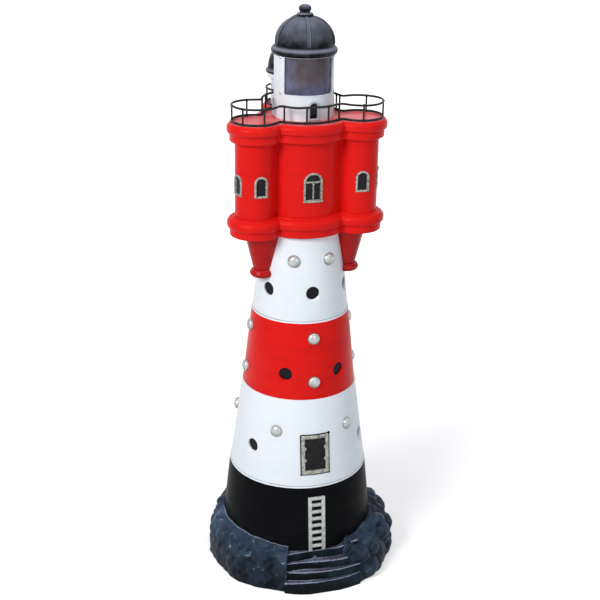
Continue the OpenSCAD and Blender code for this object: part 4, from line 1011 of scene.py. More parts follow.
def offset_line(line, distance):
    """A closed outline that runs against the clock, moved inwards where distance is positive."""
    a, b = line - np.roll(line, 1, 0), np.roll(line, -1, 0) - line
    a = a / np.linalg.norm(a, axis=1, keepdims=True)
    b = b / np.linalg.norm(b, axis=1, keepdims=True)
    side_a, side_b = np.column_stack([-a[:, 1], a[:, 0]]), np.column_stack([-b[:, 1], b[:, 0]])
    mid = side_a + side_b
    mid /= np.linalg.norm(mid, axis=1, keepdims=True)
    return line + mid * (distance / np.clip((mid * side_a).sum(1), 0.5, 1))[:, None]


def bar_section(width, low_out, high_out, edge=0.5):
    """Section of a frame's bar, as closed (inwards from its outer edge, out of the wall)."""
    crown = high_out - edge
    return np.array([(0, low_out), (0, crown), (edge * 0.35, high_out - edge * 0.25), (edge, high_out),
                     (width * 0.5, high_out + 0.12), (width - edge, high_out),
                     (width - edge * 0.35, high_out - edge * 0.25), (width, crown), (width, low_out)])


def frame_ring(line, section):
    """A bar led round a closed outline, as points of (across, up, out)."""
    return lofted([level_ring(offset_line(line, inside), out) for inside, out in section])


def straight_bar(start, end, section):
    """A straight bar between two points of the wall, as points of (across, up, out)."""
    start, end = np.array(start, float), np.array(end, float)
    along = (end - start) / np.linalg.norm(end - start)
    side = np.array([-along[1], along[0]])
    middle = section[:, 0].max() / 2
    rings = []
    for share in np.linspace(0, 1, 7):
        spot = start + (end - start) * share
        rings.append([(*(spot + side * (inside - middle)), out) for inside, out in section])
    return capped(rings)


def plate(line, low_out, high_out, crown=0.0):
    """A plate with the outline of an arch or a door. Its face may stand out a little in the middle."""
    middle = line.mean(0)
    rings = [level_ring(line, low_out), level_ring(line, high_out)]
    for share in (0.8, 0.55, 0.3, 0.08):
        rings.append(level_ring(middle + (line - middle) * share, high_out + crown * (1 - share * share)))
    return capped(rings)


def on_round_wall(shape, centre, radius, bearing, z):
    """Wraps (across, up, out) round a vertical wall of a radius about a centre."""
    points, faces = shape
    points = np.asarray(points, float)
    turns = math.radians(bearing) + points[:, 0] / radius
    reach = radius + points[:, 2]
    x = centre[0] + reach * np.sin(turns)
    y = centre[1] - reach * np.cos(turns)
    return np.column_stack([x, y, z + points[:, 1]]), faces


def wall_hole(slices, centre, radius, bearing, z, depth=7.0):
    """A hole through a round wall. Each slice of its outline is (across, lowest, highest)."""
    rings = [[(x, top if up else foot, out) for up, out in ((0, -depth), (1, -depth), (1, 4.0), (0, 4.0))]
             for x, foot, top in slices]
    return on_round_wall(capped(rings), centre, radius, bearing, z)


def arch_slices(width, height, steps=24):
    """Slices of an arch that is a little smaller than its frame."""
    half, height = width / 2 - 0.5, height - 0.5
    return [(half * c, 0, height - half + half * math.sqrt(1 - c * c))
            for c in -np.cos(np.linspace(0.02, math.pi - 0.02, steps))]


# %% [markdown]
# The middle window has a transom and a mullion, and a sill that stands out under it. The oriel windows are
# plain arches. The wall is cut a little narrower than the frames, so that their edges lie on the wall as
# the real ones do.

# %% The wall and its windows
CASEMENT_W, CASEMENT_H = 25.5, 39.5
WINDOW_W, WINDOW_H = 18.0, 29.0
WIN_BAR = 2.7
FRAME_OUT, FRAME_IN = 1.5, -1.5
ORIEL_TURNS = [-75.0, 0.0, 75.0]
SIDES = {-ORIEL_BEARING: "left", ORIEL_BEARING: "right", 180.0: "rear"}
win_z = wall_z + 22.0
on_house = ((0, 0), house_r, 0, win_z)
on_oriel = {b: [(tuple(bearing_vector(b) * oriel_at)[:2], ORIEL_R, b + turn, win_z + 8.0)
                for turn in ORIEL_TURNS] for b in ORIELS}
window_arch = arch_line(WINDOW_W, WINDOW_H)
casement_arch = arch_line(CASEMENT_W, CASEMENT_H)

rings = [plan_ring(0, z) for z in np.linspace(wall_z, cornice_z, 9)]
rings += [plan_ring(-3, cornice_z), plan_ring(-3, wall_z)]
gallery_wall = new_object("gallery_wall_cast", *lofted(rings), "red_enamel", 40)
cutters = [wall_hole(arch_slices(CASEMENT_W, CASEMENT_H), *on_house)]
cutters += [wall_hole(arch_slices(WINDOW_W, WINDOW_H), *spot) for b in ORIELS for spot in on_oriel[b]]
cut(gallery_wall, cutters, 30)
hand_over(gallery_wall, "red_paint", "gallery_wall")

section = bar_section(WIN_BAR, FRAME_IN, FRAME_OUT)
half, cross = CASEMENT_W / 2 - WIN_BAR + 0.3, CASEMENT_H - CASEMENT_W / 2
parts = [frame_ring(casement_arch, section),
         straight_bar((-half, cross), (half, cross), bar_section(2.2, FRAME_IN, FRAME_OUT - 0.35, 0.4)),
         straight_bar((0, WIN_BAR - 0.3), (0, cross), bar_section(2.0, FRAME_IN, FRAME_OUT - 0.5, 0.4)),
         straight_bar((-CASEMENT_W / 2 - 0.6, 0.6), (CASEMENT_W / 2 + 0.6, 0.6),
                      bar_section(2.4, 0, FRAME_OUT + 0.7, 0.6))]
casement = merged([on_round_wall(part, *on_house) for part in parts])
hand_over(new_object("casement_bars", *casement, "frame_silver", 38), "aged_silver", "casement_frame")


def glazing(arch):
    """The pane of an arched window."""
    return plate(offset_line(arch, 0.3), FRAME_IN - 1.7, FRAME_IN - 0.1, 0.3)


pane = on_round_wall(glazing(casement_arch), *on_house)
hand_over(new_object("casement_glazing", *pane, "black_glazing", 60), "black_glazing", "casement_panes")
for b, side in SIDES.items():
    bars = merged([on_round_wall(frame_ring(window_arch, section), *spot) for spot in on_oriel[b]])
    obj = new_object(side + "_oriel_bars", *bars, "frame_silver", 38)
    hand_over(obj, "aged_silver", side + "_oriel_frames")
    panes = merged([on_round_wall(glazing(window_arch), *spot) for spot in on_oriel[b]])
    obj = new_object(side + "_oriel_glazing", *panes, "black_glazing", 60)
    hand_over(obj, "black_glazing", side + "_oriel_panes")

# %% [markdown]
# ## Corbels
#
# Each oriel is carried by a corbel: a cone that stands on its tip, with a round knob under it. The tower
# stands through its rear half, which is cut away so that the corbel lies against the wall.

# %% Corbels
CORBEL_AT = 62.0
CORBEL_TOP_R = 24.8
CORBEL_TIP_R = 12.2
CORBEL_H = 61.0
KNOB_R = 17.0
KNOB_H = 9.4
foot = floor_z - CORBEL_H
neck = foot + KNOB_H
knob = soften([(0, foot), (KNOB_R - 2.6, foot, 2.4), (KNOB_R, foot + KNOB_H / 2, 2.3),
               (KNOB_R - 2.4, neck, 2.2), (CORBEL_TIP_R + 0.2, neck + 0.1), (0, neck)], False)
cone = soften([(0, neck - 1.5), (CORBEL_TIP_R, neck - 1.5), (CORBEL_TIP_R, neck, 0.8),
               (CORBEL_TOP_R, floor_z - 0.05), (0, floor_z - 0.05)], False)
below, above = line_z[3] - 20, line_z[4] + 5
tower = turned([(0, below), (section_r(3, below) + 0.15, below), (section_r(3, above) + 0.15, above),
                (0, above)], 200)
for b, side in SIDES.items():
    at_knob, at_cone = bearing_vector(b) * (CORBEL_AT + 1), bearing_vector(b) * CORBEL_AT
    corbel = new_object(side + "_corbel_cast", *turned(cone, 96, at_cone[:2]), "corbel_enamel", 40)
    combine(corbel, new_object("knob", *turned(knob, 96, at_knob[:2]), "corbel_enamel", 40), "UNION")
    cut(corbel, [tower], 40)
    hand_over(corbel, "red_paint", side + "_corbel")

# %% [markdown]
# ## Entrance door
#
# The door is a black leaf in a silver frame, and both follow the curve of the tower. The frame has two
# round lugs on each inner side, where bars would be let in, and a black line round it that was painted
# thickly and stands up a little. The wall leans, so the same wrapping as for the windows gets a radius that
# changes with the height.

# %% Door
DOOR_BAR = 5.0
DOOR_OUT = 1.4
LUG_R = 2.3


def on_cone_wall(shape):
    """Puts (across, up, out) on the leaning wall of the lower white section, at the door's place."""
    points, faces = shape
    points = np.asarray(points, float)
    height = DOOR_Z + points[:, 1]
    reach = section_r(1, height) + points[:, 2]
    return np.column_stack([points[:, 0], -np.sqrt(reach ** 2 - points[:, 0] ** 2), height]), faces


def box_line(width, height, radius=0.8, step=2.0, low_z=0.0):
    """Closed outline of a rectangle on low_z with rounded corners. No stretch is longer than a step,
    so it bends."""
    half, top = width / 2, low_z + height
    line = soften([(-half, low_z, radius), (half, low_z, radius), (half, top, radius), (-half, top, radius)],
                  True, 4)
    points = []
    for a, b in zip(line, np.roll(line, -1, 0)):
        count = max(1, int(np.linalg.norm(b - a) / step))
        points += [a + (b - a) * k / count for k in range(count)]
    return np.array(points)


def round_line(centre, radius):
    """A round outline."""
    return arc((0, 0), radius, 0, 340, 17) + np.array(centre)


parts = [frame_ring(box_line(DOOR_W - 0.4, DOOR_H - 0.4, 1.0, 2.0, 0.2),
                    bar_section(DOOR_BAR, -1.6, DOOR_OUT, 0.7))]
lugs = [(side * (DOOR_W / 2 - DOOR_BAR), share * DOOR_H) for side in (-1, 1) for share in (0.36, 0.66)]
parts += [plate(round_line(spot, LUG_R), -1.5, DOOR_OUT - 0.35, 0.4) for spot in lugs]
door = merged([on_cone_wall(part) for part in parts])
hand_over(new_object("door_bars", *door, "frame_silver", 40), "aged_silver", "door_frame")

parts = [frame_ring(box_line(DOOR_W + 2.6, DOOR_H + 2.6, 2.2, 2.0, -1.3), bar_section(1.9, -0.4, 0.75, 0.6))]
for x, z, r in ((DOOR_W / 2 + 0.2, DOOR_H + 0.4, 1.9), (-DOOR_W / 2 - 0.1, -0.1, 1.6),
                (DOOR_W / 2, -0.2, 1.5)):
    parts.append(plate(round_line((x, z), r), -0.3, 0.6, 0.5))
line = merged([on_cone_wall(part) for part in parts])
hand_over(new_object("door_outline", *line, "porthole_black", 40), "black_glazing")

leaf = on_cone_wall(plate(box_line(DOOR_W - 0.5, DOOR_H - 0.5, 0.8, 2.0, 0.25), -3.6, -1.7, 0.25))
hand_over(new_object("door_panel", *leaf, "black_glazing", 40), "black_glazing", "door_leaf")

# %% [markdown]
# ## Ladder
#
# The ladder leans on the black section. Its stiles and rungs are one casting with soft edges. The rungs are
# a row again, whose outward direction is square to the leaning wall.

# %% Ladder
STILE = 5.2
RUNG_H = 4.9
RUNGS = 7
LADDER_T = 3.3
BACK = 0.05
ladder_w = high("ladder")[0] - low("ladder")[0]
lean = math.atan2(foot_r[0] - top_r[0], line_z[1] - line_z[0])
climb = np.array([0, math.sin(lean), math.cos(lean)])
away = np.array([0, -math.cos(lean), math.sin(lean)])
start = np.array([0, -section_r(0, low("ladder")[2]), low("ladder")[2]])
ladder_l = (high("ladder")[2] - low("ladder")[2]) / math.cos(lean)


def leaning(points):
    """Moves (across, up the ladder, away from the wall) to its place."""
    points = np.asarray(points, float)
    return start + points[:, :1] * np.array([1.0, 0, 0]) + points[:, 1:2] * climb + points[:, 2:] * away


def rounded_bar(width, thick, long, radius=0.8, ends=0.5):
    """A bar along y, from 0 to its length, that lies on z=0."""
    half = width / 2
    corners = [(-half, 0, 0.3), (half, 0, 0.3), (half, thick, radius), (-half, thick, radius)]
    section = soften(corners, True, 3)
    middle = np.array([0, thick / 2])
    rings = []
    for y, share in ((0, 0.82), (ends, 1.0), (long * 0.5, 1.0), (long - ends, 1.0), (long, 0.82)):
        rings.append([(x, y, z) for x, z in middle + (section - middle) * share])
    return capped(rings)


foot_cut = LADDER_T * math.tan(lean) + 0.2
points, faces = rounded_bar(STILE, LADDER_T - 0.2, ladder_l - foot_cut - 0.4)
stiles = merged([(leaning(points + np.array([side * (ladder_w - STILE) / 2, foot_cut, BACK])), faces)
                 for side in (-1, 1)])
stiles = new_object("stiles", *stiles, "ladder_silver", 40)
points, faces = rounded_bar(RUNG_H, LADDER_T - 0.75, ladder_w - 2.4, 0.9)
rung = points[:, [1, 0, 2]] - np.array([(ladder_w - 2.4) / 2, 0, 0])
spots = []
for k in range(1, RUNGS + 2):
    up = k * ladder_l / (RUNGS + 1) - RUNG_H / 2 - (0.6 if k > RUNGS else 0)
    spots.append((Vector(leaning([(0, up, BACK)])[0]), Vector(away)))
rungs = row_of("rungs", (rung, faces), spots, "ladder_silver", 40)
hand_over(joined("ladder_cast", stiles, rungs, sharp=40), "aged_silver", "ladder")

# %% [markdown]
# ## Railing
#
# Two wire rails follow the deck: a long round in the middle, three small rounds on the oriels, and short
# bends where they meet. They are bent by hand, so they waver by a few tenths of a millimetre. The posts are
# thinner wire, and the black paint has gathered in a small blob at each joint. The tree for wires gives the
# path its section.

# %% Rails
RAIL_R = 54.5
RAIL_ORIEL_R = 30.8
BEND_R = 6.0
WIRE_R = 1.5
rail_z = {name: high(name)[2] - WIRE_R - 0.25 for name in ("bottom_rail", "top_rail")}
to_bend = RAIL_R + BEND_R
bend_bearing = triangle_turn(to_bend, oriel_at, RAIL_ORIEL_R + BEND_R)
bend_local = triangle_turn(RAIL_ORIEL_R + BEND_R, oriel_at, to_bend)


def rail_path(z, waver):
    """The closed path of one rail."""
    spots = []

    def sweep(centre, radius, start, end, step=3.0):
        count = max(3, int(abs(math.radians(end - start)) * radius / step))
        spots.extend(centre + bearing_vector(start + (end - start) * k / count) * radius
                     for k in range(count))

    for b, gap in GAPS:
        sweep(bearing_vector(b) * oriel_at, RAIL_ORIEL_R, b - 180 + bend_local, b + 180 - bend_local)
        on = b + bend_bearing
        sweep(bearing_vector(on) * to_bend, BEND_R, b - bend_local, on - 180, 1.2)
        off_side = b + gap - bend_bearing
        sweep(Vector((0, 0, 0)), RAIL_R, on, off_side)
        sweep(bearing_vector(off_side) * to_bend, BEND_R, off_side + 180, b + gap + bend_local, 1.2)
    line = []
    for spot in spots:
        turn = math.atan2(spot.x, -spot.y)
        out = waver * (0.25 * math.sin(5 * turn + 1) + 0.2 * math.sin(13 * turn + 2))
        rise = waver * (0.35 * math.sin(4 * turn + 0.6) + 0.25 * math.sin(9 * turn + 2.2))
        line.append(spot * (1 + out / spot.length) + Vector((0, 0, z + rise)))
    return line


for name, title, waver in (("bottom_rail", "low_rail_wire", 0.25), ("top_rail", "high_rail_wire", 1.0)):
    hand_over(wire(title, [rail_path(rail_z[name], waver)], WIRE_R, True, 16), "black_wire", name)

# %% Posts
POST_R = 1.25
POSTS = [-11, 20.6, 110, 128, -110, -128]
ORIEL_POSTS = [[-100, -22, 27, 80], [-80, 0, 73], [-90, -30, 30, 90]]
feet = [bearing_vector(b) * RAIL_R for b in POSTS]
feet += [bearing_vector(b + side * bend_bearing) * RAIL_R for b in ORIELS for side in (-1, 1)]
feet += [bearing_vector(b) * oriel_at + bearing_vector(b + a) * RAIL_ORIEL_R
         for b, turns in zip(ORIELS, ORIEL_POSTS) for a in turns]
top = rail_z["top_rail"]
paths = [[foot + Vector((0, 0, z)) for z in (deck_z - 0.2, deck_z + 8, top - 8, top)] for foot in feet]
posts = wire("post_wires", paths, POST_R, False, 12)
blob = [(0, -1.9), (1.1, -1.85, 0.5), (1.85, -0.6, 1), (1.85, 0.6, 1), (1.1, 1.85, 0.5), (0, 1.9)]
foot_blob = [(0, -0.2), (2.0, -0.2), (2.0, 0.15, 0.4), (1.35, 1.4, 0.6), (0, 1.6)]
drops = [row_of(name, turned(soften(shape, False, 3), sides),
                [(foot + Vector((0, 0, z)), Vector((0, 0, 1))) for foot in feet], "wire_black", 60)
         for name, shape, sides, z in (("solder", blob, 12, top - 0.2), ("feet", foot_blob, 14, deck_z))]
hand_over(joined("rail_post_set", posts, *drops, sharp=60), "black_wire", "rail_posts")

# %% [markdown]
# ## Lantern
#
# The lantern is a plain white drum. A wide opening in its front holds the smoked pane, which is bent to the
# drum and held from inside by four small screws. The opening has rounded corners, and three arched doors
# stand round the foot of the drum.

# %% Lantern drum
PANE_TURN = 58.0
PANE_Z = deck_z + 32.4
PANE_H = 49.6
OPENING_ROUND = 2.6
SMALL_DOORS = [4.0, -90.0, 94.0]
SMALL_DOOR_W, SMALL_DOOR_H = 16.0, 26.0
SOCKET_IN, SOCKET_OUT = 31.4, 33.7
lantern_in = lantern_r - 2.6
on_doors = [((0, 0), lantern_r, b, deck_z + 1.0) for b in SMALL_DOORS]
line = soften([(lantern_r, deck_z + 0.02), (lantern_r, dome_seat_z - 6), (lantern_r, dome_seat_z, 0.4),
               (lantern_in, dome_seat_z, 0.4), (lantern_in, deck_z + 3.9), (SOCKET_IN, deck_z + 3.9, 0.3),
               (SOCKET_IN, deck_z - 7.9, 0.4), (SOCKET_OUT, deck_z - 7.9, 0.4), (SOCKET_OUT, deck_z + 0.02)])
drum = new_object("lantern_drum", *turned(line, 256), "white_enamel")
half = math.radians(PANE_TURN) * lantern_r
spread = [*np.linspace(-half, -half + OPENING_ROUND, 9), *np.linspace(-half + 4, half - 4, 60)]
spread += [-x for x in spread[8::-1]]
slices = []
for x in spread:
    past = max(0, abs(x) - half + OPENING_ROUND)
    lost = OPENING_ROUND - math.sqrt(max(OPENING_ROUND ** 2 - past ** 2, 0))
    slices.append((x, lost, PANE_H - lost))
cutters = [wall_hole(slices, (0, 0), lantern_r, 0, PANE_Z, 5)]
cutters += [wall_hole(arch_slices(SMALL_DOOR_W, SMALL_DOOR_H), *spot) for spot in on_doors]
cut(drum, cutters, 32)
hand_over(drum, "white_paint", "lantern_housing")

opening = box_line(2 * half, PANE_H, OPENING_ROUND, 1.4)
lip = frame_ring(offset_line(opening, 0.1), bar_section(1.2, -0.6, 0.28, 0.3))
lip = on_round_wall(lip, (0, 0), lantern_r, 0, PANE_Z)
hand_over(new_object("lantern_opening_lip", *lip, "white_enamel", 60), "white_paint")

# %% [markdown]
# The pane's mesh is a grid over its turn and its height, so it also stores those two as attributes for its
# tint.

# %% Lantern pane
FACE_R, BACK_R = 36.35, 34.4
COLUMNS, ROWS = 96, 20
turns = np.radians(np.linspace(-72, 72, COLUMNS))
pane_low, pane_high = PANE_Z - 4, PANE_Z + PANE_H + 4
rings = [round_ring(FACE_R, z, turns) for z in np.linspace(pane_low, pane_high, ROWS)]
rings += [round_ring(BACK_R, z, turns) for z in (pane_high, pane_low)]
faces = grid_faces(ROWS + 2, COLUMNS, True, False).tolist()
faces += [[j * COLUMNS + i for j in range(ROWS + 2)] for i in (0, COLUMNS - 1)]
pane = new_object("lantern_glazing", np.vstack(rings), faces, "smoked_pane", 40)
spot = places(pane)
turn = np.degrees(np.arctan2(spot[:, 0], -spot[:, 1]))
paint_attribute(pane, "side", np.clip(np.abs(turn) / PANE_TURN, 0, 1))
paint_attribute(pane, "height", np.clip((spot[:, 2] - PANE_Z) / PANE_H, 0, 1))
hand_over(pane, "smoked_pane", "lantern_pane")

# %% Screws of the pane, each with its slot at another angle
SCREW_TURN = 66
SLOT_TURNS = (20, 75, -30, 50)
head = turned(soften([(0, -6.9), (1.15, -6.9, 0.2), (1.15, 0.1), (2.0, 0.1, 0.1), (2.1, 0.5, 0.2),
                      (1.5, 1.05, 0.5), (0, 1.1)], False, 3), 24)
marks = [(side * SCREW_TURN, z) for side in (-1, 1) for z in (pane_low + 6, pane_high - 6)]
spots = [(bearing_vector(b) * lantern_r + Vector((0, 0, z)), bearing_vector(b)) for b, z in marks]
screws = row_of("pane_screw_row", head, spots, "zinc", 40)
slot_line = np.array([(-3, -0.3), (3, -0.3), (3, 0.3), (-3, 0.3)])
cutters = []
for (b, z), turn in zip(marks, np.radians(SLOT_TURNS)):
    spin = slot_line @ np.array([[math.cos(turn), math.sin(turn)], [-math.sin(turn), math.cos(turn)]])
    cutters.append(at_wall(capped([level_ring(spin, depth) for depth in (0.6, 3.0)]), b, lantern_r, z))
cut(screws, cutters, 40)
hand_over(screws, "zinc", "pane_screws")

# %% Small doors of the lantern
arch = arch_line(SMALL_DOOR_W, SMALL_DOOR_H, 0.5)
bars = frame_ring(arch, bar_section(2.9, -1.5, 2.0, 0.6))
leaf = plate(offset_line(arch, 0.3), -2.5, -0.9, 0.3)
for name, shape, finish, node_name in (("small_door_arches", bars, "door_white", "gallery_door_frames"),
                                       ("small_door_leaves", leaf, "black_glazing", "gallery_door_leaves")):
    shapes = merged([on_round_wall(shape, *spot) for spot in on_doors])
    hand_over(new_object(name, *shapes, finish, 40), finish, node_name)

# %% [markdown]
# ## Dome
#
# The dome is a turned shell with a thick rolled rim. Five ribs run up it to the collar of the finial. A rib
# is a flat band whose two edges stand up a little and carry a painted highlight, so the rib's mesh is a band
# with that section, led up the dome's curve, and the tree for rows puts five of them round the axis.

# %% Dome shell
DOME_CURVE_R = 33.0
DOME_OFF = 5.6
RIM_BALL = 5.45
RIM_AT = 38.0
dome_mid = (DOME_OFF, dome_seat_z + 11.0)
rim_z = dome_seat_z + 1.5
curve = arc(dome_mid, DOME_CURVE_R, -5, 90, 40)
inner = arc(dome_mid, DOME_CURVE_R - 3, 90, -20, 24)
bead = arc((RIM_AT, rim_z), RIM_BALL, -95, 72, 21)
line = np.vstack([[(lantern_r + 0.35, bead[0][1])], bead, [(38.9, rim_z + 5.1), (38.55, rim_z + 6.0)], curve,
                  [(0, curve[-1][1]), (0, inner[0][1])], inner, [(lantern_in, dome_seat_z + 0.05)],
                  [(lantern_r + 0.35, dome_seat_z + 0.05)]])
dome = new_object("dome_cast", *turned(line, 220), "dome_black", 50)
spot = places(dome)
out = np.hypot(spot[:, 0], spot[:, 1])
crest = np.clip(1 - np.abs(np.hypot(out - RIM_AT, spot[:, 2] - rim_z) - RIM_BALL) / 0.5, 0, 1)
slant = (spot[:, 2] - rim_z) / RIM_BALL
# painted highlight on the upper side of the rim bead
paint_attribute(dome, "painted_highlight", crest * np.clip(1 - np.abs(slant - 0.62) / 0.45, 0, 1) * (out > 36))

# %% Ribs
RIBS = 5
RIB_START = -7.0
RIB_W = 4.6
half = RIB_W / 2
side = [(-half - 0.5, -0.6), (-half, 0.9), (-half + 0.45, 1.45), (-half + 1.0, 1.1)]
rib_section = side + [(0, 0.75)] + [(-across, proud) for across, proud in side[::-1]]
rings = []
for a in np.linspace(-4, 83, 44):
    slope_out = np.array([math.cos(math.radians(a)), math.sin(math.radians(a))])
    fade = 1 - 0.35 * max(0.0, (a - 40) / 45)
    ring = []
    for across, proud in rib_section:
        r, z = np.array(dome_mid) + slope_out * (DOME_CURVE_R + proud * (0.7 if a < -1 else 1))
        ring.append((across * fade, z, r))
    rings.append(ring)
spots = [(Vector((0, 0, 0)), bearing_vector(RIB_START + 360 * k / RIBS)) for k in range(RIBS)]
ribs = row_of("dome_ribs", capped(rings), spots, "dome_black", 60)
spot = places(ribs)
out = np.hypot(spot[:, 0], spot[:, 1])
turn = np.degrees(np.arctan2(spot[:, 0], -spot[:, 1])) - RIB_START
off_rib = np.radians((turn + 36) % 72 - 36) * out
proud = np.hypot(out - DOME_OFF, spot[:, 2] - dome_mid[1]) - DOME_CURVE_R
# painted highlight along both raised edges of every rib
paint_attribute(ribs, "painted_highlight", np.clip((proud - 0.95) / 0.35, 0, 1) * (np.abs(off_rib) > 0.8))
hand_over(joined("dome_cast", dome, ribs, sharp=50), "dome_black", "dome_shell", body="dome")

# %% [markdown]
# The finial is a collar with five lobes, one at the head of each rib, then a short neck and a flattened
# ball. The lobes make a loft of its rings, whose radius swells at the ribs.

# %% Finial
COLUMNS = 120
foot, top = dome_mid[1] + DOME_CURVE_R - 1.2, high("dome_finial")[2]
line = soften([(0, foot), (9.2, foot, 0.6), (10.6, foot + 1.2, 1.2), (10.8, foot + 4.2, 1.4),
               (9.3, foot + 5.4, 1.0), (6.6, foot + 5.6, 0.5), (6.2, foot + 6.4, 0.5),
               (7.4, foot + 7.6, 0.9), (8.5, top - 5.4, 3.0),
               (7.3, top - 2.3, 2.6), (4.2, top - 0.5, 3.0), (0, top)], False, 5)
degrees = np.arange(COLUMNS) / COLUMNS * 360
swell = 0.5 + 0.5 * np.cos(np.radians(RIBS * (degrees - RIB_START)))
rings = []
for r, z in line:
    lobe = (0.07 * (swell - 0.55) if z < foot + 5.5 else 0) * min(1, r / 6)
    rings.append(round_ring(r * (1 + lobe), z, np.radians(degrees)))
ball = new_object("finial_cast", *lofted(rings, False), "dome_black", 50)
up = places(ball)[:, 2]
# painted highlights on the crest of the collar and the top of the ball
painted_highlight = np.clip(1 - np.abs(up - foot - 4.6) / 0.9, 0, 1) + 0.8 * np.clip((up - top + 2.2) / 2, 0, 1)
paint_attribute(ball, "painted_highlight", painted_highlight)
hand_over(ball, "dome_black", "dome_finial", body="dome")

# %% [markdown]
# ## Turret
#
# The turret on the rear oriel is the lantern's small sister: a white drum with a moulded cornice, and a
# dark dome with a button and a ball.

# %% Turret
TURRET_RING = 2.45
rim_r, top, peak_z = high("turret_housing")[0], high("turret_housing")[2], high("turret_dome")[2]
drum_r = rim_r - 5.2
centre = tuple(bearing_vector(180) * oriel_at)[:2]
line = soften([(drum_r, deck_z + 0.02), (drum_r, top - 9.4, 0.6), (drum_r + 0.9, top - 9.2, 0.4),
               (drum_r + 1.6, top - 7.6, 1.5), (rim_r - 1.2, top - 6.2, 1.2), (rim_r, top - 5.6, 0.5),
               (rim_r, top, 0.8), (drum_r - 2.8, top), (drum_r - 2.8, deck_z + 0.02)])
turret_drum = new_object("turret_drum", *turned(line, 144, centre), "white_enamel", 35)
hand_over(turret_drum, "white_paint", "turret_housing")

ring_r = rim_r + 2.2 - TURRET_RING
rim_mid = top + 2.5
cap_r, cap_z = rim_r - 0.9, top + 4.6
cap_h = peak_z - 7.5 - cap_z
turn_up = np.radians(np.linspace(4, 88, 26))
cap = np.column_stack([cap_r * np.cos(turn_up) ** 0.85, cap_z + cap_h * np.sin(turn_up) ** 0.9])
under_cap = np.column_stack([cap[:, 0] * 0.9, cap_z + (cap[:, 1] - cap_z) * 0.9])[::-1]
button = cap[-1][1]
peak = soften([(4.8, button - 0.6), (5.0, button + 1.8, 1.0), (3.4, button + 2.8, 0.8),
               (2.6, button + 3.2, 0.4), (3.6, peak_z - 5.0, 0.8), (4.0, peak_z - 3.4, 1.6),
               (2.6, peak_z - 0.6, 1.4), (0, peak_z)], False, 4)
line = np.vstack([[(drum_r - 2.6, top + 0.05)], arc((ring_r, rim_mid), TURRET_RING, -88, 88, 11),
                  [(cap_r + 1.0, cap_z + 0.35)], cap[:-1], peak, [(0, under_cap[0][1])], under_cap,
                  [(drum_r - 2.6, cap_z)]])
turret_cap = new_object("turret_cap", *turned(line, 144, centre), "dome_black", 50)
spot = places(turret_cap) - np.array([*centre, 0])
out = np.hypot(spot[:, 0], spot[:, 1])
crest = np.clip(1 - np.abs(spot[:, 2] - rim_mid - 1.9), 0, 1)
# painted highlight along the crest of the turret's rim ring
paint_attribute(turret_cap, "painted_highlight", (out > ring_r) * crest)
hand_over(turret_cap, "dome_black", "turret_dome")

# %% [markdown]
# ## Rock base
#
# The rock is one casting, but it has three manners. Left of the steps it is a smooth dark wall with a band
# of broken facets on top, on the right and behind it is a pile of rounded boulders, and in front are four
# worn treads. A surface over bearing and height suits it: every column of the grid is a smooth profile from
# the ground to the tower, and stones push it outwards. A stone is a small hill over the surface, and the
# highest hill wins at every point, which leaves the sharp creases where two stones meet.

# %% Noise and stones
ROCK_R = 135.0
AROUND = 2 * math.pi * ROCK_R
chance = np.random.default_rng(23)


def ease(value, start, end):
    """0 before start and 1 after end, smooth between."""
    share = np.clip((value - start) / (end - start), 0, 1)
    return share * share * (3 - 2 * share)


def ripple(points, wave, count=9):
    """Smooth noise over points, between about -1 and 1, from a few sine waves in random directions."""
    total = np.zeros(len(points))
    for _ in range(count):
        way = chance.normal(size=points.shape[1])
        way *= 2 * math.pi / (wave * chance.uniform(0.75, 1.4)) / np.linalg.norm(way)
        total += np.sin(points @ way + chance.uniform(0, 6.28))
    return total / count ** 0.5


def hills(u, v, heights, spread, sizes, flat):
    """The highest of many stones at each point, and a random number for the stone or facet that it
    belongs to."""
    best = np.full(u.shape, -9.0)
    mark = np.zeros(u.shape)
    for j, row in enumerate(heights):
        for k in range(spread):
            at_u = (k + 0.5 * (j % 2) + chance.uniform(-0.3, 0.3)) * AROUND / spread - AROUND / 2
            at_v = row + chance.uniform(-6, 6)
            du = (u - at_u + AROUND / 2) % AROUND - AROUND / 2
            dv = v - at_v
            size = chance.uniform(*sizes)
            lift = chance.uniform(-1.8, 2.4)
            marks = chance.uniform(0, 1, 5)
            if flat:
                turn = chance.uniform(0, 6.28)
                ways = [turn + a for a in (0.0, 1.7, 3.1, 4.6)]
                falls = np.array([chance.uniform(0.12, 0.55) * (du * math.cos(way) + dv * math.sin(way))
                                  for way in ways])
                hill = lift + 1.5 - falls.max(0)
                shade = marks[falls.argmax(0)]
            else:
                far = du * du * chance.uniform(0.7, 1.1) + dv * dv * chance.uniform(0.8, 1.3)
                hill = lift + np.sqrt(np.maximum(size * size - far, 0.0)) - size
                shade = marks[4]
            mark = np.where(hill > best, shade, mark)
            best = np.maximum(best, hill)
    return best, mark


def inner_r(z):
    """Radius of the tower's wall in the rock, with its gap."""
    return section_r(0, z) + 0.45


def near(spot, width):
    """1 at a bearing, falling to nothing on both sides."""
    return np.exp(-((bearings - spot) / width) ** 2)


def spline(corners, count):
    """A cubic B-spline through its first and last corner, for many profiles at once."""
    corners = np.array([corners[0]] * 2 + list(corners) + [corners[-1]] * 2, float)
    rows = []
    for s in np.linspace(0, len(corners) - 3 - 1e-9, count):
        k, t = int(s), s - int(s)
        weights = [(1 - t) ** 3, 3 * t ** 3 - 6 * t * t + 4, -3 * t ** 3 + 3 * t * t + 3 * t + 1, t ** 3]
        rows.append(np.tensordot(np.array(weights) / 6, corners[k:k + 4], 1))
    return np.array(rows)


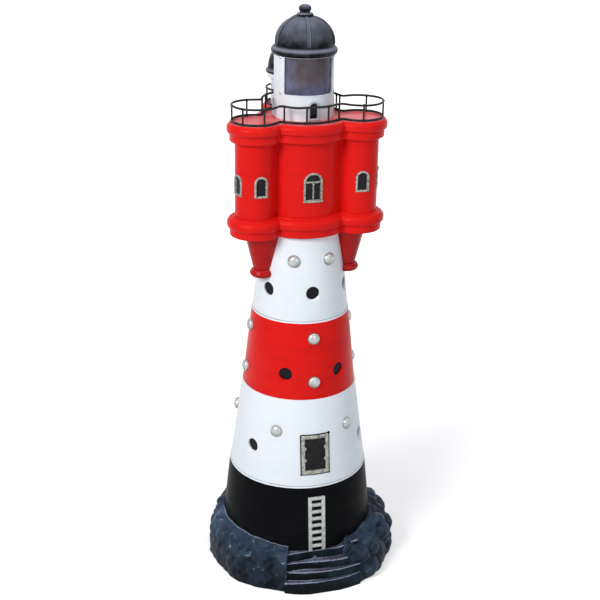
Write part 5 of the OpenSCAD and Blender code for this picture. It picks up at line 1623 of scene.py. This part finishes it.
# %% Profiles of the rock, and a low one behind the steps
UP = 84
STAIR_LEFT = -21.5
STAIR_RIGHT = 31
CORE_R = 118.6
FOOT_AT = [-180, -110, -95, -82, -67, -53, -40, -33, -20, 15, 35, 50, 64, 80, 180]
FOOT_OFF = [0, 0, 2.5, -1.2, -0.5, 2.6, -1.6, -4.6, -4.6, 0, 3.5, -2, 0, 0, 0]
rock_low, rock_high = low("rock_base"), high("rock_base")
bearings = np.sort(np.append(np.arange(-180, 180, 0.5) + 0.25, [STAIR_LEFT - 0.03, STAIR_LEFT + 0.03]))
turns = np.radians(bearings)
foot = 138.0 + 8.5 * np.cos(turns - math.radians(75)) + np.interp(bearings, FOOT_AT, FOOT_OFF)
dip = near(STAIR_RIGHT, 9) * 8
crest_z = 60 + 2.5 * np.sin(3 * turns + 0.7) + 2 * np.sin(7 * turns) - dip * 0.8
touch_z = 67 + 2 * np.sin(3 * turns + 0.7) + 1.2 * np.sin(5 * turns) - dip * 1.1
touch_z -= 4.5 * near(STAIR_LEFT, 9)
left_side = ease(bearings, -104, -92) * (1 - ease(bearings, STAIR_LEFT, STAIR_LEFT + 1))
touch_r = inner_r(touch_z)
wide = foot - touch_r
tucked = 1.5 * (1 - np.where(left_side > 0.5, 1.0, 0.0))
none = 0 * foot
skin = spline([(foot, none), (foot - 0.2, crest_z * 0.3), (foot - 1.2 - tucked, crest_z * 0.62),
               (foot - 0.20 * wide - tucked, crest_z * 0.93), (foot - 0.5 * wide, (crest_z + touch_z) / 2),
               (touch_r, touch_z)], UP)
core = [(CORE_R, 0), (CORE_R, 4), (118.2, 8), (117.5, 11), (116, 12.5), (inner_r(13.0), 13.0)]
under = spline([(r + none, z + none) for r, z in core], UP)
step = np.diff(skin, axis=0)
v = np.vstack([np.zeros(len(foot)), np.cumsum(np.hypot(step[:, 0], step[:, 1]), 0)])
u = np.broadcast_to(turns * ROCK_R, v.shape)
slope = np.gradient(skin, axis=0)
slope /= np.linalg.norm(slope, axis=1, keepdims=True)
print("rock profile length", round(float(v[-1].mean()), 1), "columns", len(bearings))

# %% Stones that push the profiles out
round_hills, round_mark = hills(u, v, [14, 44, 74], 22, (17, 25), False)
flat_hills, flat_mark = hills(u, v, [44, 64, 84], 21, (14, 21), True)
spots = np.column_stack([(skin[:, 0] * np.sin(turns)).ravel(), (skin[:, 0] * np.cos(turns)).ravel(),
                         skin[:, 1].ravel()])
grain = ripple(spots, 11.0).reshape(v.shape)
fine = ripple(spots, 5.0).reshape(v.shape)
sharp_hills, sharp_mark = hills(u, v, [20, 52, 80], 17, (14, 21), True)
band = ease(v, 28, 50)
wall = 0.7 * np.sin(turns * 17 + 1.6 * np.sin(v / 21)) + 0.25 * np.sin(turns * 41 + 2 * np.sin(v / 13))
leftwards = flat_hills * band + wall * (1 - band) + 0.35 * grain
elsewhere = np.maximum(round_hills, sharp_hills - 3.0) + 0.35 * grain + 0.12 * fine
round_mark = np.where(round_hills > sharp_hills - 3.0, round_mark, sharp_mark)
push = leftwards * left_side + elsewhere * (1 - left_side)
push *= 1 - 0.6 * ease(v, v[-1] - 9, v[-1] - 1)
push *= 0.75 + 0.25 * ease(v, 0, 10)
out_r = skin[:, 0] + slope[:, 1] * push
out_z = skin[:, 1] - slope[:, 0] * push
out_z = np.maximum(out_z - out_z[0] * (1 - ease(v, 0, 12)), 0)
out_z[0] = 0
right_side = ease(bearings + 1.6 * np.sin(v / 9 + 1) + 1.0 * grain, 16.0, 21.5)
rock_share = np.where(bearings < STAIR_LEFT, 1.0, 0.0) + np.where(bearings > 5, right_side, 0.0)
out_r = out_r * rock_share + under[:, 0] * (1 - rock_share)
out_z = out_z * rock_share + under[:, 1] * (1 - rock_share)
rim_z = out_z[-1]
out_r[-1] = inner_r(rim_z)

# %% Tone and dry brush
REACH = 2
ridge = push - (np.roll(push, REACH, 1) + np.roll(push, -REACH, 1)) / 2
ridge[REACH:-REACH] = np.maximum(ridge[REACH:-REACH],
                                 push[REACH:-REACH] - (push[2 * REACH:] + push[:-2 * REACH]) / 2)
over, rise = np.gradient(out_r, axis=0), np.gradient(out_z, axis=0)
lying = np.clip(-over / np.hypot(over, rise), 0, 1)
tone = 0.24 + (0.12 - 0.08 * left_side) * grain + 0.22 * lying + 0.035 * np.clip(push, -4, 4)
tone += left_side * band * (0.10 + 0.42 * (flat_mark - 0.4)) + (1 - left_side) * 0.22 * (round_mark - 0.4)
tone -= 0.12 * left_side * (1 - band)
tone += 0.35 * near(-90, 9) * band
seam = left_side * ease(v, v[-1] - 2.4, v[-1] - 0.8)
brush = np.clip((ridge - 0.24) / 0.45, 0, 1) * (0.3 + 0.45 * left_side) + seam * 0.85
speck = (1 - left_side) * ease(v, v[-1] - 24, v[-1] - 8) * np.clip(fine - 0.5, 0, 1)
brush = np.clip(brush + 0.35 * speck, 0, 1)

# %% The rock's mesh
rings = [round_ring(out_r[j], out_z[j], turns) for j in range(UP)]
bed = np.minimum(rim_z - 2, 4.4)
rings += [round_ring(r, z, turns) for r, z in ((inner_r(rim_z - 1.2), rim_z - 1.2), (inner_r(bed), bed),
                                               (116.4, bed), (116.4, 0 * rim_z))]
points = np.vstack(rings)
points[:, :2] = np.clip(points[:, :2], rock_low[:2], rock_high[:2])
spare = np.zeros(4 * len(turns))
values = {"tone": np.append(tone.ravel(), spare), "brush": np.append(brush.ravel(), spare),
          "mauve": np.zeros(len(points))}
rock = new_object("rock_casting", points, grid_faces(len(rings), len(turns)), "rock_slate", 50, values)
pocket = [(-20, 100), (20, 100), (20, 160), (-20, 160)]
cut(rock, [capped([[(x, y, z) for x, y in pocket] for z in (-5.0, 50.0)])], 50)

# %% [markdown]
# The treads are a second surface: a stair profile that is led from the left wall into the boulders on the
# right. Their edges are worn and waver, and to the right they rise a little and widen, until the boulders
# cover them.

# %% Steps
# one row per tread: its edge's distance in front of the axis, then its height, at six places across
ACROSS = [-46, -29, -16, 8, 40, 58]
TREADS = [([111.8, 110.4, 110.2, 110.6, 111.2, 111.4], [53.2, 53.6, 53.6, 53.4, 53.4, 53.4]),
          ([114.6, 117.0, 118.2, 120.8, 124.0, 121.0], [40.4, 41.0, 41.3, 41.3, 41.6, 41.8]),
          ([117.6, 125.8, 127.9, 129.4, 131.4, 126.5], [29.2, 30.2, 30.5, 30.5, 30.8, 31.0]),
          ([126.6, 133.6, 135.7, 137.0, 136.0, 129.6], [16.6, 18.4, 19.0, 19.0, 19.4, 20.0]),
          ([125.6, 134.2, 136.6, 137.3, 136.8, 129.8], [0, 0, 0, 0, 0, 0])]
# along a tread, from its back to its edge: the share of its depth, and the dry brush there
CHALK = ((0.02, 0.62), (0.12, 0.56), (0.3, 0.30), (0.5, 0.22), (0.7, 0.30), (0.85, 0.5))
MORE_CHALK = 1.25
STAIR_TURN = math.tan(math.radians(22.3))
curves = [np.polyfit(ACROSS, row, 3) for tread in TREADS for row in tread]
rings, tones, brushes, mauves = [], [], [], []
for q in np.linspace(0, 1, 150):
    x = -47.5 + 107.5 * q
    flat_x = min(x, 58)
    rise = float(ease(x, 26, 60))
    near_left = float(1 - ease(x, -20, 30))
    level = [float(np.polyval(row, flat_x)) for row in curves]
    waver = [0.5 * math.sin(x / 6.1 + 2.3 * k) + 0.3 * math.sin(x / 2.7 + 1.1 * k) for k in range(5)]
    edges = [level[2 * k] + 0.6 * waver[k] for k in range(4)] + [level[8]]
    tops = [level[2 * k + 1] + (7.5, 3.0, 1.5, 0.6)[k] * rise + 0.35 * waver[k] for k in range(4)] + [0]
    ring = [(None, 0.0, 0, 0), (None, 4.5, 0, 0), (None, 4.5, 0, 0), (None, tops[0], 0.36, 0.6)]
    for k in range(4):
        top, out = tops[k], edges[k]
        wall_at = math.sqrt(inner_r(top) ** 2 - flat_x ** 2)
        back_at = edges[k - 1] + 0.9 if k else min(wall_at, out - 1.6)
        streak = 0.5 + 0.5 * math.sin(x / 3.3 + 4 * k)
        mid = 0.30 + 0.12 * rise * (k in (1, 2))
        for share, chalk in CHALK:
            chalk = chalk * (0.35 + 0.65 * near_left) if share < 0.8 else chalk
            worn_top = top + 0.12 * math.sin(7 * share + x / 4)
            ring.append((back_at + (out - back_at) * share, worn_top, mid, chalk))
        on, low_z = (edges[k] + 0.4, tops[k + 1]) if k < 3 else (edges[4], 0.0)
        ring += [(out - 0.5, top - 0.1, mid, 0.62 + 0.2 * streak),
                 (out - 0.1, top - 0.5, 0.25, 0.6 + 0.25 * near_left), (out, top - 1.2, 0.06, 0.2),
                 (out + (on - out) * 0.2, top - 2.2, 0.0, 0),
                 (out + (on - out) * 0.5, (top + low_z) / 2, 0.0, 0),
                 (on, low_z + 1.0, 0.0, 0), (on + (0.3 if k < 3 else 0), low_z, 0.0, 0.0)]
    row = []
    for reach, z, shade, chalk in ring:
        if reach is None:
            reach = math.sqrt((116.5 if len(row) < 2 else inner_r(z)) ** 2 - flat_x ** 2)
        reach = min(reach, -rock_low[1] - 0.05)
        row.append((-reach * STAIR_TURN + (60 + reach * STAIR_TURN) * q, -reach, z))
        tones.append(shade)
        brushes.append(chalk * MORE_CHALK)
        mauves.append(0.9 - 0.75 * rise if shade > 0.2 else 0.0)
    rings.append(row)
values = {"tone": tones, "brush": brushes, "mauve": mauves}
steps = new_object("steps_casting", *capped(rings), "rock_slate", 50, values)
hand_over(joined("rock_casting", rock, steps, sharp=50), "rock", "rock_base")

# %% [markdown]
# ## What is left of the construction model
#
# The pieces inside the tower keep the shape of the construction, because it is already right, but every one
# of them gets its real finish. Most of their slots are named like the finish, and the paints have a finish
# of another name.

# %% Finishes for the other construction nodes
OTHER_NAME = {"rock": "rock_slate", "black_paint": "black_enamel", "white_paint": "white_enamel",
              "red_paint": "red_enamel", "silver": "stud_silver", "aged_silver": "frame_silver",
              "black_wire": "wire_black"}
for part in frame["record"]["subparts"]:
    shell, slot = nodes[part["node"]], part["material_slot"]
    if not shell.hide_render:
        shell.data.materials.clear()
        shell.data.materials.append(materials[OTHER_NAME.get(slot, slot)])
        smooth(shell, 30)
print("construction nodes that still show:", sorted(n for n, o in nodes.items() if not o.hide_render))

# %% [markdown]
# ## Studio
#
# The floor and the world are a plain pale studio. Both are white to the camera and to reflections, and
# light the object only at the level of a dull day, so that its colours come out as they are written. A
# large lamp at the upper left makes the soft shadow sides of the photograph.

# %% Floor and world


def seen_directly(tree):
    """1 for what the camera sees, also in a mirror or through glass."""
    rays = node(tree, "ShaderNodeLightPath").outputs
    direct = maths(tree, "MAXIMUM", rays["Is Camera Ray"], rays["Is Glossy Ray"])
    return maths(tree, "MAXIMUM", direct, rays["Is Transmission Ray"])


FLOOR_SIDE = 6.0
tree, place, shader = start_material("studio_floor", Roughness=0.9, Specular_IOR_Level=0.1,
                                     Emission_Color=(1, 1, 1, 1))
pale = speckle(tree, place, 3.0)
tree.links.new(blend(tree, pale, (0.80, 0.80, 0.81), (0.84, 0.84, 0.85)), shader.inputs["Base Color"])
far = node(tree, "ShaderNodeVectorMath", {"operation": "LENGTH"}, {0: place}).outputs["Value"]
glow = times(tree, seen_directly(tree), ramp(tree, far, 0.25, 1.6, 0.42, 1.0))
tree.links.new(glow, shader.inputs["Emission Strength"])
floor_mesh = bpy.data.meshes.new("studio_floor")
corners = [(x * FLOOR_SIDE, y * FLOOR_SIDE, 0) for x, y in ((-1, -1), (1, -1), (1, 1), (-1, 1))]
floor_mesh.from_pydata(corners, [], [(0, 1, 2, 3)])
floor_mesh.materials.append(materials["studio_floor"])
floor = linked("studio_floor", floor_mesh)

world = bpy.data.worlds.new("studio")
bpy.context.scene.world = world
world.use_nodes = True
sky = world.node_tree
plain = sky.nodes["Background"]
plain.inputs[0].default_value = (0.93, 0.96, 1.0, 1)
plain.inputs[1].default_value = 0.30
white = node(sky, "ShaderNodeBackground", None, {0: (1, 1, 1, 1), 1: 1.0})
mixed = node(sky, "ShaderNodeMixShader", None,
             {0: seen_directly(sky), 1: plain.outputs[0], 2: white.outputs[0]})
sky.links.new(mixed.outputs[0], sky.nodes["World Output"].inputs[0])

# %% Lamps
# name: place and target in metres, side, watts, colour
LAMPS = {"key": ((-1.75, -1.3, 1.8), (0, 0, 0.45), 0.9, 43, (1, 0.99, 0.97)),
         "overhead": ((0.1, -0.1, 2.3), (0, 0, 0.4), 1.6, 13, (1, 1, 1)),
         "fill": ((0.5, -2.1, 1.2), (0, 0, 0.45), 1.2, 8, (0.95, 0.97, 1))}
for name, (place, target, side, power, colour) in LAMPS.items():
    data = bpy.data.lights.new(name, "AREA")
    data.shape, data.size, data.size_y = "RECTANGLE", side, side
    data.energy, data.color = power, colour
    aim = (Vector(target) - Vector(place)).to_track_quat("-Z", "Y").to_matrix().to_4x4()
    linked(name, data).matrix_world = Matrix.Translation(place) @ aim
bpy.context.scene.view_settings.view_transform = "Standard"
